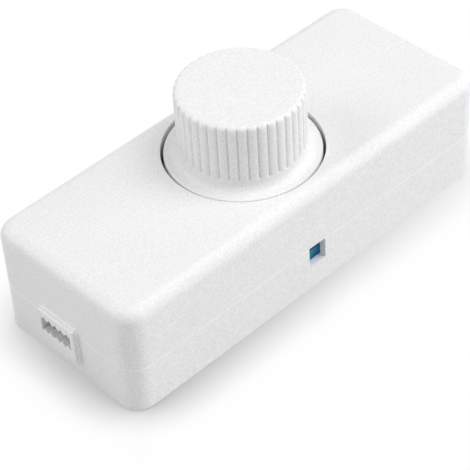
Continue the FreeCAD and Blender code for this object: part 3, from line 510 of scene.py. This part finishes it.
def turned(profile: np.ndarray, columns: int, centre: tuple[float, float, float], axis: Axis) -> np.ndarray:
    """Turn a profile of radius and height once round an axis."""
    return polar(profile[:, :1], profile[:, 1:], full_turn(columns), centre, axis)


def soft_least(first: np.ndarray, second: np.ndarray, blend: float) -> np.ndarray:
    """Take the lesser of two fields, with the crease between them rounded over about the blend's width."""
    return np.minimum(first, second) - blend * np.log1p(np.exp(-np.abs(first - second) / blend))


def closed_strip(edges: list[np.ndarray]) -> np.ndarray:
    """Join a strip's long edges into a tube and draw its end columns together, so that it is closed.

    Args:
        edges: Points along each edge, the edges in order round the strip.

    Returns:
        The grid of the strip.
    """
    sides = np.stack([*edges, edges[0]])
    first, last = (np.broadcast_to(sides[:-1, column].mean(axis=0), (len(sides), 1, 3)) for column in (0, -1))
    return np.concatenate([first, sides, last], axis=1)


def make_mesh(name: str, patches: list[np.ndarray]) -> bpy.types.Mesh:
    """Join grids of points into one mesh.

    Neighbours in a grid's rows and columns span quads, points that coincide become one, and faces
    are turned outwards.

    Args:
        name: Name of the mesh.
        patches: Grids of points, rows by columns by three, in millimetres.

    Returns:
        The mesh, in metres.
    """
    points, quads, first = [], [], 0
    for patch in patches:
        rows, columns = patch.shape[:2]
        number = np.arange(first, first + rows * columns).reshape(rows, columns)
        quads.append(np.stack([number[:-1, :-1], number[:-1, 1:], number[1:, 1:], number[1:, :-1]],
                              axis=-1).reshape(-1, 4))
        points.append(patch.reshape(-1, 3))
        first += rows * columns
    mesh = bpy.data.meshes.new(name)
    mesh.from_pydata(np.vstack(points) * MM, [], np.vstack(quads))
    work = bmesh.new()
    work.from_mesh(mesh)
    bmesh.ops.remove_doubles(work, verts=work.verts, dist=MERGE_GAP * MM)
    bmesh.ops.dissolve_degenerate(work, edges=work.edges, dist=MERGE_GAP * MM)
    bmesh.ops.recalc_face_normals(work, faces=work.faces)
    work.to_mesh(mesh)
    work.free()
    mesh.shade_smooth()
    mesh.set_sharp_from_angle(angle=SHARP_ANGLE)
    return mesh


# Pieces and their finishes


@dataclass
class Dresser:
    """Gives the solids and the new pieces their finishes."""

    materials: dict[str, Material]

    @classmethod
    def with_finishes(cls) -> "Dresser":
        """Build every finish once."""
        return cls({slot: finish.material() for slot, finish in FINISHES.items()})

    def dress_solids(self) -> None:
        """Give each solid the finish of its slot in the record."""
        slots = {part["node"]: part["material_slot"] for part in frame["record"]["subparts"]}
        for node, solid in frame["nodes"].items():
            solid.data.materials.clear()
            solid.data.materials.append(self.materials[slots[node]])
            log.info("solid %s: %s", node, slots[node])

    def add_piece(self, name: str, patches: list[np.ndarray], body: str, slot: str,
                  replaced: tuple[str, ...] = (), finish: Finish | None = None) -> None:
        """Make a piece from its grids, finish it and let it ride on its body.

        Args:
            name: Name of the piece.
            patches: Its grids of points, in millimetres.
            body: The body that it moves with.
            slot: The record's slot that it takes its finish from.
            replaced: Solids that it stands for.
            finish: Its own finish, where that isn't the slot's.
        """
        mesh = make_mesh(name, patches)
        mesh.materials.append(finish.material() if finish else self.materials[slot])
        piece = bpy.data.objects.new(name, mesh)
        bpy.context.scene.collection.objects.link(piece)
        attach(piece, body)
        if replaced:
            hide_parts(*replaced)
        log.info("piece %s: %d faces", name, len(mesh.polygons))


def box_mm(node: str) -> tuple[np.ndarray, np.ndarray]:
    """Give the corners of a solid's box in millimetres."""
    low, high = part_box(node)
    return np.array(low) / MM, np.array(high) / MM


def points_mm(node: str) -> np.ndarray:
    """Give a solid's points in millimetres: its own points turned and moved by its matrix.

    Args:
        node: Name of the solid.

    Returns:
        The points, one to a row.
    """
    solid = frame["nodes"][node]
    own = np.empty(3 * len(solid.data.vertices), dtype=np.float32)
    solid.data.vertices.foreach_get("co", own)
    matrix = np.array(solid.matrix_world)
    return (own.reshape(-1, 3) @ matrix[:3, :3].T + matrix[:3, 3]) / MM


# The knob


@dataclass
class FlutedKnob:
    """The push-on knob: a hollow cap with a skirt, fluted round its side, on a hub with a D-shaped bore."""

    wall_radius: float = 13.3
    wall: float = 1.8
    roof: float = 2.0
    top_round: float = 1.0
    skirt_height: float = 2.1
    skirt_edge_round: float = 0.4
    skirt_fillet: float = 2.0
    hub_radius: float = 5.0
    hub_lift: float = 2.1
    bore_radius: float = 3.05
    bore_depth: float = 10.3
    key_length: float = 7.3
    key_face: float = 1.55
    flutes: int = 40
    first_flute: float = math.radians(-2)
    flute_width: float = 0.7
    flute_depth: float = 0.6
    flute_start: float = 4.5
    flute_runout: float = 0.4
    runout_span: tuple[float, float] = (1.3, -0.1)
    runout_rows: int = 12
    rib_crown: float = 0.22
    edge_softness: float = 0.04
    arc_steps: int = 10
    columns_per_flute: int = 20
    crowding: float = 0.45
    key_least_cosine: float = 0.1

    def build(self, dresser: Dresser) -> None:
        """Make the knob and let it stand for its solid.

        Args:
            dresser: What finishes it.
        """
        low, high = box_mm("knob")
        angle = self.angles()
        patches = [self.outside(low[2], high, angle), self.inside(low[2], high, angle)]
        dresser.add_piece("fluted_knob", patches, "knob_shaft", "knob_plastic", replaced=("knob",))

    def angles(self) -> np.ndarray:
        """Give the columns' angles, crowded together where a flute is cut.

        Returns:
            Angles of one turn, its end on its start.
        """
        share = np.linspace(-1, 1, self.columns_per_flute + 1)[:-1]
        crowded = (1 - self.crowding) * share + self.crowding * share ** 3
        pitch = 2 * math.pi / self.flutes
        turn = self.first_flute + (np.arange(self.flutes)[:, None] + crowded / 2) * pitch
        return np.append(turn.ravel(), turn[0, 0] + 2 * math.pi)

    def outside(self, bottom: float, high: np.ndarray, angle: np.ndarray) -> np.ndarray:
        """Shape the outer skin from the top's centre to the skirt's lower edge.

        The profile is carried round the axis. Between two flutes it is crowned into a rib, which falls
        off with the square of the angle from the rib's middle. A flute is an upright V groove, whose floor
        rises evenly on both sides of its middle and whose depth runs out to nothing at the lower end. The
        skin is the lesser of the rib and that floor, with a softened edge.

        Args:
            bottom: Height of the skirt's lower face.
            high: Highest corner of the knob's box.
            angle: Angles of the columns.

        Returns:
            The grid of the skin.
        """
        skirt_radius, top = high[0], high[2]
        skirt_top = bottom + self.skirt_height
        flute_low = bottom + self.flute_start
        runout = [(self.wall_radius, flute_low + self.flute_runout * share, 0.0)
                  for share in np.linspace(*self.runout_span, self.runout_rows)]
        profile = rounded_profile([
            (0.0, top, 0.0), (self.wall_radius - 2 * self.top_round, top, 0.0),
            (self.wall_radius, top, self.top_round), *runout,
            (self.wall_radius, skirt_top, self.skirt_fillet),
            (skirt_radius, skirt_top, self.skirt_edge_round),
            (skirt_radius, bottom, 0.0), (self.wall_radius - self.wall, bottom, 0.0)], self.arc_steps)
        radius, height = profile[:, :1], profile[:, 1:]
        pitch = 2 * math.pi / self.flutes
        aside = np.abs((angle - self.first_flute + pitch / 2) % pitch - pitch / 2)
        run = np.clip((height - flute_low) / self.flute_runout, 0, 1)
        rib = radius - self.rib_crown * run * (1 - 2 * aside / pitch) ** 2
        slope = self.flute_depth / (self.flute_width / 2)
        floor = self.wall_radius - self.flute_depth * run + self.wall_radius * aside * slope
        fluted = np.where(height > flute_low, soft_least(rib, floor, self.edge_softness), radius)
        fluted = np.where(radius < self.wall_radius - self.top_round, radius, fluted)
        return polar(fluted, height, angle)

    def inside(self, bottom: float, high: np.ndarray, angle: np.ndarray) -> np.ndarray:
        """Shape the hollow, the hub and the D-shaped bore, where the flat lies at a plane x = d.

        Args:
            bottom: Height of the skirt's lower face.
            high: Highest corner of the knob's box.
            angle: Angles of the columns.

        Returns:
            The grid of the inner skin.
        """
        inner = self.wall_radius - self.wall
        roof = high[2] - self.roof
        hub_end = bottom + self.hub_lift
        bore_end = hub_end + self.bore_depth
        key_start = bore_end - self.key_length
        hub, bore = self.hub_radius, self.bore_radius
        profile = np.array([  # radius, height, and 1 where the flat cuts in
            (inner, bottom, 0), (inner, roof, 0), (hub, roof, 0), (hub, hub_end, 0), (bore, hub_end, 0),
            (bore, key_start, 0), (bore, key_start, 1), (bore, bore_end, 1), (0.0, bore_end, 0)])
        radius, height, keyed = (profile[:, place:place + 1] for place in range(3))
        facing = np.cos(angle)
        flat = np.where(facing > self.key_least_cosine,
                        self.key_face / np.maximum(facing, self.key_least_cosine), bore)
        return polar(np.where(keyed, np.minimum(radius, flat), radius), height, angle)


# The screws


@dataclass
class PanScrews:
    """Self-tapping screws in rows: pan heads with a cross recess, and sharp threads to a point."""

    name: str
    node: str
    shank: Shank
    head_radius: float
    head_height: float
    head_round: float
    thread_height: float
    pitch: float
    core_radius: float = 1.0
    point: float = 1.2
    point_radius: float = 0.15
    point_thread: float = 0.2
    crest_share: float = 0.5
    recess_reach: float = 0.62
    recess_width: float = 0.14
    recess_depth: float = 0.6
    recess_slope: float = 0.06
    least_pair: float = 3.0
    crown_rows: int = 30
    rows_per_turn: int = 12
    columns: int = 96

    def build(self, dresser: Dresser) -> None:
        """Make the screws and let them stand for their solids.

        Args:
            dresser: What finishes them.
        """
        low, high = box_mm(self.node)
        seat = low[2] + self.head_height if self.shank is Shank.UP else high[2] - self.head_height
        length = high[2] - low[2] - self.head_height
        angle = full_turn(self.columns)
        tip = np.zeros_like(angle)
        parts = (self.head(angle), self.thread(angle, length), (tip, tip + length))
        radius, height = (np.vstack(rows) for rows in zip(*parts))
        columns, rows = (self.places(low[side], high[side]) for side in (0, 1))
        height = seat + height * self.shank.value
        patches = [polar(radius, height, angle, (x, y, 0.0)) for x in columns for y in rows]
        dresser.add_piece(self.name, patches, "case", "plated_steel", replaced=(self.node,))

    def places(self, low: float, high: float) -> tuple[float, ...]:
        """Give the heads' middles between two ends: one at each, or one between where only one head fits.

        Args:
            low: The lower end of the screws' box along one side.
            high: Its upper end.

        Returns:
            The places.
        """
        if high - low < self.least_pair * self.head_radius:
            return ((low + high) / 2,)
        return (low + self.head_radius, high - self.head_radius)

    def head(self, angle: np.ndarray) -> tuple[np.ndarray, np.ndarray]:
        """Shape the head: its crown is sunk by two bars at right angles, full deep but for a small slope.

        Args:
            angle: Angles of the columns.

        Returns:
            Radius and height of its points.
        """
        top, rim = -self.head_height, self.head_radius
        outline = rounded_profile([(0.0, top, 0.0), (rim, top, self.head_round), (rim, 0.0, 0.0),
                                   (self.core_radius, 0.0, 0.0)])
        flat = np.linspace(0, outline[1, 0], self.crown_rows)[:-1]
        outline = np.vstack([np.column_stack([flat, np.full_like(flat, top)]), outline[1:]])
        radius, height = outline[:, :1], outline[:, 1:]
        across, along = (np.abs(radius * side) / rim for side in (np.cos(angle), np.sin(angle)))
        bars = [np.clip((self.recess_width - a) / self.recess_slope, 0, 1)
                * np.clip((self.recess_reach - b) / self.recess_slope, 0, 1)
                for a, b in ((across, along), (along, across))]
        sunk = np.maximum(*bars) * self.recess_depth * self.head_height
        height = height + np.where(height < top / 2, sunk, 0)
        return np.broadcast_to(radius, height.shape), height

    def thread(self, angle: np.ndarray, length: float) -> tuple[np.ndarray, np.ndarray]:
        """Shape the shank: a ridge whose crest climbs one pitch a turn, on a core that narrows to the point.

        Args:
            angle: Angles of the columns.
            length: Length of the shank.

        Returns:
            Radius and height of its points.
        """
        rise = np.linspace(0, length, int(length / self.pitch * self.rows_per_turn))[:, None]
        core = np.interp(rise, [0, length - self.point, length],
                         [self.core_radius, self.core_radius, self.point_radius])
        ridge = 1 - 2 * np.abs((rise / self.pitch - angle / (2 * math.pi)) % 1 - 1 / 2)
        crest = np.clip((ridge - 1) / self.crest_share + 1, 0, 1)
        start = np.clip(rise / self.pitch, 0, 1)
        end = np.clip((length - rise) / self.point + self.point_thread, 0, 1)
        radius = core + self.thread_height * start * end * crest
        return radius, np.broadcast_to(rise, radius.shape)


# The case's joint


@dataclass(frozen=True)
class Ledge:
    """One step of a port's collar: its start and end beyond the wall, its ends across and its height."""

    start: float
    reach: float
    low: float
    high: float
    level: float


@dataclass
class SmoothLandsAndPaintedHighlights:
    """Lighter skins: the smooth bevel along the shells' joint, partly the mould's smooth land and partly a
    painted highlight, and painted highlights on the ledges over the ports.
    """

    seam_height: float = 11.4
    bevel: float = 0.35
    margin: float = 0.03
    half_length: float = 50.0
    half_width: float = 20.0
    corner_radius: float = 4.6
    corner_steps: int = 24
    window: tuple[float, float] = (-1.8, 2.8)
    port: tuple[float, float] = (-4.4, 7.4)
    ledges: tuple[Ledge, ...] = (
        Ledge(start=0.0, reach=0.5, low=-3.6, high=6.6, level=13.1),
        Ledge(start=0.5, reach=1.1, low=-3.6, high=6.6, level=12.6),
    )

    def build(self, dresser: Dresser) -> None:
        """Make the joint's three stretches between the window and the two ports, and each end's ledges.

        Args:
            dresser: What finishes them.
        """
        x, y, round_ = self.half_length, self.half_width, self.corner_radius
        stretches = (
            [(self.window[1], -y, 0.0), (x, -y, round_), (x, self.port[0], 0.0)],
            [(x, self.port[1], 0.0), (x, y, round_), (-x, y, round_), (-x, self.port[1], 0.0)],
            [(-x, self.port[0], 0.0), (-x, -y, round_), (self.window[0], -y, 0.0)],
        )
        patches = [self.strip(stretch) for stretch in stretches]
        # the ledges' skins are painted highlights: lighter plastic on faces that look up
        patches += [self.skin(ledge, end) for ledge in self.ledges for end in (-1, 1)]
        dresser.add_piece("smooth_lands_and_painted_highlights", patches, "case", "case_plastic", finish=LAND_AND_HIGHLIGHT_PLASTIC)

    def strip(self, corners: list[tuple[float, float, float]]) -> np.ndarray:
        """Carry a triangle along one stretch: its outer side is the wall, its upper one under the cover.

        Args:
            corners: Place and rounding of the stretch's corners.

        Returns:
            The grid of the strip.
        """
        depth = self.bevel - 2 * self.margin
        x, y = self.half_length - depth, self.half_width - depth
        inset = [(np.clip(cx, -x, x), np.clip(cy, -y, y), max(turn - depth, 0.0)) for cx, cy, turn in corners]
        outer, inner = (rounded_profile(path, self.corner_steps) for path in (corners, inset))
        low, high = self.seam_height - self.bevel + self.margin, self.seam_height - self.margin
        return closed_strip([np.column_stack([path, np.full(len(path), level)])
                             for path, level in ((outer, low), (outer, high), (inner, high))])

    def skin(self, ledge: Ledge, end: int) -> np.ndarray:
        """Lay a thin flat skin of lighter plastic on a ledge, as a painted highlight on its upper face.

        Args:
            ledge: The ledge.
            end: 1 for the end at +X, -1 for the one at -X.

        Returns:
            The grid of the skin.
        """
        near, far = self.half_length + ledge.start, self.half_length + ledge.reach - self.margin
        bottom, top = ledge.level, ledge.level + self.margin
        return closed_strip([np.array([(reach * end, side, level) for side in (ledge.low, ledge.high)])
                             for reach, level in ((near, bottom), (far, bottom), (far, top), (near, top))])


# The parts on the board


@dataclass
class WoundCoil:
    """The choke's winding: one layer of enamelled wire, turn beside turn."""

    inner_radius: float = 2.3
    wire: float = 0.5
    columns: int = 64
    rows_per_turn: int = 10

    def build(self, dresser: Dresser) -> None:
        """Make the winding and let it stand for its solid.

        Its skin is a round wire on every turn: the radius rises by the root of 1 - u squared, where u runs
        from -1 to 1 across the wire and shifts by one wire with each turn of the angle.

        Args:
            dresser: What finishes it.
        """
        low, high = box_mm("choke_winding")
        outer, height = (high[0] - low[0]) / 2, high[2] - low[2]
        turns = round(height / self.wire)
        angle = full_turn(self.columns)
        rise = np.linspace(0, height, turns * self.rows_per_turn + 1)[:, None]
        across = 2 * ((rise * turns / height - angle / (2 * math.pi)) % 1) - 1
        skin = outer - self.wire / 2 * (1 - np.sqrt(1 - across ** 2))
        bore = np.full((1, len(angle)), self.inner_radius)
        radius = np.vstack([bore, skin, bore, bore])
        level = np.vstack([[[0.0]], rise, [[height]], [[0.0]]])
        centre = (*(low[:2] + high[:2]) / 2, low[2])
        dresser.add_piece("wound_choke_wire", [polar(radius, level, angle, centre)], "case", "copper_wire",
                          replaced=("choke_winding",))


@dataclass
class DippedCapacitor:
    """The film capacitor: a wound block in a thick dipped coat, full-sided and soft at every corner."""

    squareness: float = 8.0
    cut: float = 0.2
    rows: int = 73
    columns: int = 144

    def build(self, dresser: Dresser) -> None:
        """Make the coat and let it stand for its solid.

        Each ray from the middle is drawn out until the sum of its parts, each raised to the squareness, is
        one, and the squared ball is then stretched to the box. Its underside is cut flat on the board.

        Args:
            dresser: What finishes it.
        """
        low, high = box_mm("film_capacitor")
        bottom = low - np.array((0.0, 0.0, self.cut))
        tilt = np.linspace(-math.pi / 2, math.pi / 2, self.rows)[:, None]
        ray = polar(np.cos(tilt), np.sin(tilt), full_turn(self.columns))
        reach = (np.abs(ray) ** self.squareness).sum(axis=-1, keepdims=True) ** (-1 / self.squareness)
        coat = (bottom + high) / 2 + ray * reach * (high - bottom) / 2
        coat[..., 2] = np.maximum(coat[..., 2], low[2])
        dresser.add_piece("dipped_capacitor", [coat], "case", "film_case", replaced=("film_capacitor",))


@dataclass
class AxialBodies:
    """Small parts between axial leads: turned bodies along X, fuller at both ends, where the coat drew up."""

    name: str
    node: str
    slot: str
    count: int
    waist: float
    end_length: float
    end_round: float = 0.45
    step_round: float = 0.1
    columns: int = 48

    def build(self, dresser: Dresser) -> None:
        """Make the bodies side by side and let them stand for their solids.

        Args:
            dresser: What finishes them.
        """
        low, high = box_mm(self.node)
        radius, length = (high[2] - low[2]) / 2, high[0] - low[0]
        step = self.end_length + radius - self.waist
        end, turn = self.end_length, self.step_round
        profile = rounded_profile([
            (0.0, 0.0, 0.0), (radius, 0.0, self.end_round), (radius, end, turn), (self.waist, step, turn),
            (self.waist, length - step, turn), (radius, length - end, turn),
            (radius, length, self.end_round), (0.0, length, 0.0)])
        patches = [turned(profile, self.columns, (low[0], row, low[2] + radius), Axis.X)
                   for row in np.linspace(low[1] + radius, high[1] - radius, self.count)]
        dresser.add_piece(self.name, patches, "case", self.slot, replaced=(self.node,))


@dataclass
class FuseWire:
    """The fine wire in the fuse, drawn between the end plates of its caps."""

    radius: float = 0.09
    plate: float = 0.45
    columns: int = 16

    def build(self, dresser: Dresser) -> None:
        """Make the wire on the tube's axis.

        Args:
            dresser: What finishes it.
        """
        low, high = box_mm("fuse_caps")
        length = high[0] - low[0] - 2 * self.plate
        profile = np.array([(0.0, 0.0), (self.radius, 0.0), (self.radius, length), (0.0, length)])
        centre = (low[0] + self.plate, *(low[1:] + high[1:]) / 2)
        patches = [turned(profile, self.columns, centre, Axis.X)]
        dresser.add_piece("fuse_wire", patches, "case", "contact_metal")


@dataclass
class SolderJoints:
    """Solder under the board: one hollow-sided cone round each tail that comes through."""

    nodes: tuple[str, ...] = ("component_leads", "triac_leadframe", "pot_terminals")
    foot_radius: float = 0.95
    neck_radius: float = 0.42
    height: float = 0.75
    spread: float = 1.1
    rows: int = 10
    columns: int = 24

    def build(self, dresser: Dresser) -> None:
        """Make the joints, each narrowing with the square of the height left above its neck.

        Args:
            dresser: What finishes them.
        """
        under = box_mm("circuit_board")[0][2]
        share = np.linspace(0, 1, self.rows)[:, None]
        skin = self.neck_radius + (self.foot_radius - self.neck_radius) * (1 - share) ** 2
        radius = np.vstack([[[0.0]], skin, [[0.0]]])
        level = under - self.height * np.vstack([[[0.0]], share, [[1.0]]])
        patches = [polar(radius, level, full_turn(self.columns), (*spot, 0.0)) for spot in self.tails(under)]
        dresser.add_piece("solder_joints", patches, "case", "plated_steel", finish=SOLDER)

    def tails(self, under: float) -> list[np.ndarray]:
        """Find the tails: the middle of each close group of points that lie below the board.

        Args:
            under: Height of the board's lower face.

        Returns:
            The tails' places across the board.
        """
        points = np.vstack([points_mm(node) for node in self.nodes])
        left = points[points[:, 2] < under - self.height, :2]
        tails = []
        while len(left):
            near = np.hypot(*(left - left[0]).T) < self.spread
            tails.append((left[near].min(axis=0) + left[near].max(axis=0)) / 2)
            left = left[~near]
        return tails


# Floor, light and camera


@dataclass(frozen=True)
class Softbox:
    """A square lamp: where it hangs round the part, how large it is and what it gives."""

    name: str
    turn: float
    lift: float
    power: float
    size: float = 0.5
    distance: float = 0.8

    def hang(self) -> None:
        """Hang the lamp so that it faces the part: turn is measured from +X, lift from the floor."""
        turn, lift = math.radians(self.turn), math.radians(self.lift)
        ray = Vector((math.cos(turn) * math.cos(lift), math.sin(turn) * math.cos(lift), math.sin(lift)))
        lamp = bpy.data.lights.new(self.name, "AREA")
        lamp.size = self.size
        lamp.energy = self.power
        softbox = bpy.data.objects.new(self.name, lamp)
        softbox.location = ray * self.distance
        softbox.rotation_euler = ray.to_track_quat("Z", "Y").to_euler()
        bpy.context.scene.collection.objects.link(softbox)


@dataclass(frozen=True)
class PolishedAcrylic(Finish):
    """A white acrylic sheet: a soft mirror over a lit face, and a white glow with a painted shadow near the
    part.
    """

    bounce_colour: str = "#DCDCDC"
    mirror: float = 0.5
    glow: float = 0.93
    contact_mm: float = 13.0
    contact_samples: int = 16
    # painted shadow on the floor: darkest about this point by the part's near corner, lighter with distance,
    # between the tones below
    painted_shadow_centre_mm: tuple[float, float, float] = (-52.0, -24.0, 0.0)
    painted_shadow_reach_mm: tuple[float, float] = (5.0, 95.0)
    painted_shadow_tones: tuple[float, float] = (0.49, 0.82)
    open_share: tuple[float, float] = (0.5, 0.9)

    def surface(self) -> Surface:
        """Mix a lit face, a mirror and white light that fades near the part into a painted shadow; diffuse
        rays see a plain face.

        Returns:
            The surface.
        """
        surface = super().surface()
        tree = surface.tree
        tree.nodes.remove(surface.shader)
        white = linear(self.colour)
        face = add_node(tree, "ShaderNodeBsdfDiffuse", {"Color": white})
        gloss = add_node(tree, "ShaderNodeBsdfAnisotropic", {"Color": white, "Roughness": self.roughness})
        polished = add_node(tree, "ShaderNodeMixShader", {
            "Fac": self.mirror, 1: face.outputs[0], 2: gloss.outputs[0]})
        # the white glow carries a painted contact shadow: dimmed where ambient occlusion finds the part near
        near = add_node(tree, "ShaderNodeAmbientOcclusion", {"Distance": self.contact_mm * MM},
                        samples=self.contact_samples)
        away = add_node(tree, "ShaderNodeVectorMath", {
            0: surface.place, 1: tuple(MM * size for size in self.painted_shadow_centre_mm)}, operation="DISTANCE")
        # painted shadow: the glow is dimmed more the nearer it lies to the point by the near corner
        depth = add_node(tree, "ShaderNodeMapRange", {
            "Value": away.outputs["Value"],
            "From Min": self.painted_shadow_reach_mm[0] * MM, "From Max": self.painted_shadow_reach_mm[1] * MM,
            "To Min": self.painted_shadow_tones[0], "To Max": self.painted_shadow_tones[1]})
        painted_shadow_tone = add_node(tree, "ShaderNodeMapRange", {
            "Value": near.outputs["AO"], "From Min": self.open_share[0], "From Max": self.open_share[1],
            "To Min": depth.outputs["Result"], "To Max": 1.0})
        light = add_node(tree, "ShaderNodeEmission", {
            "Color": linear(WHITE), "Strength": painted_shadow_tone.outputs["Result"]})
        seen = add_node(tree, "ShaderNodeMixShader", {
            "Fac": self.glow, 1: polished.outputs[0], 2: light.outputs[0]})
        bounce = add_node(tree, "ShaderNodeBsdfDiffuse", {"Color": linear(self.bounce_colour)})
        sheet = add_node(tree, "ShaderNodeMixShader", {
            "Fac": sight(tree), 1: bounce.outputs[0], 2: seen.outputs[0]})
        tree.links.new(sheet.outputs[0], tree.nodes["Material Output"].inputs["Surface"])
        return surface


def sight(tree: NodeTree) -> NodeSocket:
    """Tell apart the rays that show a background: the camera's, a gloss's and a glass's.

    Args:
        tree: The node tree to add to.

    Returns:
        A socket that is 1 for those rays and 0 for the rest.
    """
    path = add_node(tree, "ShaderNodeLightPath")
    seen = path.outputs["Is Camera Ray"]
    for ray in ("Is Glossy Ray", "Is Transmission Ray"):
        either = add_node(tree, "ShaderNodeMath", {0: seen, 1: path.outputs[ray]}, operation="MAXIMUM")
        seen = either.outputs[0]
    return seen


@dataclass
class Studio:
    """A polished white floor among softboxes, and weak light from all round."""

    floor: PolishedAcrylic = PolishedAcrylic("acrylic_white_polished", "#FCFCFC", 0.24)
    floor_size: float = 6.0
    floor_drop_mm: float = 0.02
    ambient: float = 0.3
    softboxes: tuple[Softbox, ...] = (
        Softbox("right_high_softbox", turn=-42, lift=65, power=3.05),
        Softbox("right_low_softbox", turn=-42, lift=15, power=2.25),
        Softbox("left_softbox", turn=138, lift=40, power=2.1),
        Softbox("front_softbox", turn=228, lift=35, power=0.65),
    )

    def build(self) -> None:
        """Lay the floor and set up the lights."""
        self.lay_floor()
        self.light_all_round()
        for softbox in self.softboxes:
            softbox.hang()

    def lay_floor(self) -> None:
        """Lay a flat sheet a hair below the part, so that the two never share a plane."""
        half = self.floor_size / 2
        side = np.array([-half, half]) / MM
        sheet = np.stack(np.meshgrid(side, side) + [np.full((2, 2), -self.floor_drop_mm)], axis=-1)
        mesh = make_mesh("floor", [sheet])
        mesh.materials.append(self.floor.material())
        floor = bpy.data.objects.new("floor", mesh)
        bpy.context.scene.collection.objects.link(floor)

    def light_all_round(self) -> None:
        """Give an even light, and white wherever the camera, gloss or glass sees past the floor."""
        world = bpy.data.worlds.new("white_surround")
        bpy.context.scene.world = world
        world.use_nodes = True
        tree = world.node_tree
        level = add_node(tree, "ShaderNodeMapRange", {
            "Value": sight(tree), "To Min": self.ambient, "To Max": 1.0})
        sky = tree.nodes["Background"]
        sky.inputs["Color"].default_value = linear(WHITE)
        tree.links.new(level.outputs["Result"], sky.inputs["Strength"])


@dataclass
class PhotoCamera:
    """A long lens that looks down on the part across its near corner."""

    azimuth: float = -41.746
    elevation: float = 42.915
    roll: float = -3.84
    lens_mm: float = 146.0
    distance: float = 0.38294
    nearest: float = 0.01
    aim: tuple[float, float, float] = (-0.01172, -0.00892, 0.01517)

    def build(self) -> None:
        """Place the camera on its ray from the aim and turn it about that ray by the roll."""
        turn, lift = math.radians(self.azimuth), math.radians(self.elevation)
        back = Vector((math.sin(turn) * math.cos(lift), -math.cos(turn) * math.cos(lift), math.sin(lift)))
        view = bpy.data.cameras.new("photo_camera")
        view.lens = self.lens_mm
        view.clip_start = self.nearest
        camera = bpy.data.objects.new("photo_camera", view)
        level = (-back).to_track_quat("-Z", "Y").to_matrix()
        rolled = level @ Matrix.Rotation(math.radians(self.roll), 3, "Z")
        camera.matrix_world = Matrix.Translation(Vector(self.aim) + back * self.distance) @ rolled.to_4x4()
        bpy.context.scene.collection.objects.link(camera)
        bpy.context.scene.camera = camera


def corners(box: tuple[Vector, Vector]) -> list[list[float]]:
    """Give a box's two corners as plain numbers."""
    return [list(corner) for corner in box]


def main() -> None:
    """Dress the solids, add the finer pieces, and set up the studio and the camera."""
    logging.basicConfig(level=logging.INFO, format="%(name)s: %(message)s")
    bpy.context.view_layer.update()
    bpy.context.scene.view_settings.view_transform = "Standard"
    dresser = Dresser.with_finishes()
    dresser.dress_solids()
    assemblies = (
        FlutedKnob(), SmoothLandsAndPaintedHighlights(), WoundCoil(), DippedCapacitor(), FuseWire(), SolderJoints(),
        PanScrews("case_pan_screws", "case_screws", Shank.UP, head_radius=2.2, head_height=1.6,
                  head_round=0.9, thread_height=0.38, pitch=1.06),
        PanScrews("board_pan_screws", "board_screws", Shank.DOWN, head_radius=1.9, head_height=1.3,
                  head_round=0.7, thread_height=0.18, pitch=0.8),
        AxialBodies("banded_resistors", "resistors", "resistor_lacquer", count=3, waist=1.0, end_length=1.1),
        AxialBodies("rounded_diac", "diac", "black_epoxy", count=1, waist=0.86, end_length=0.7),
    )
    for assembly in assemblies:
        assembly.build(dresser)
    Studio().build()
    PhotoCamera().build()


if __name__ == "__main__":
    main()
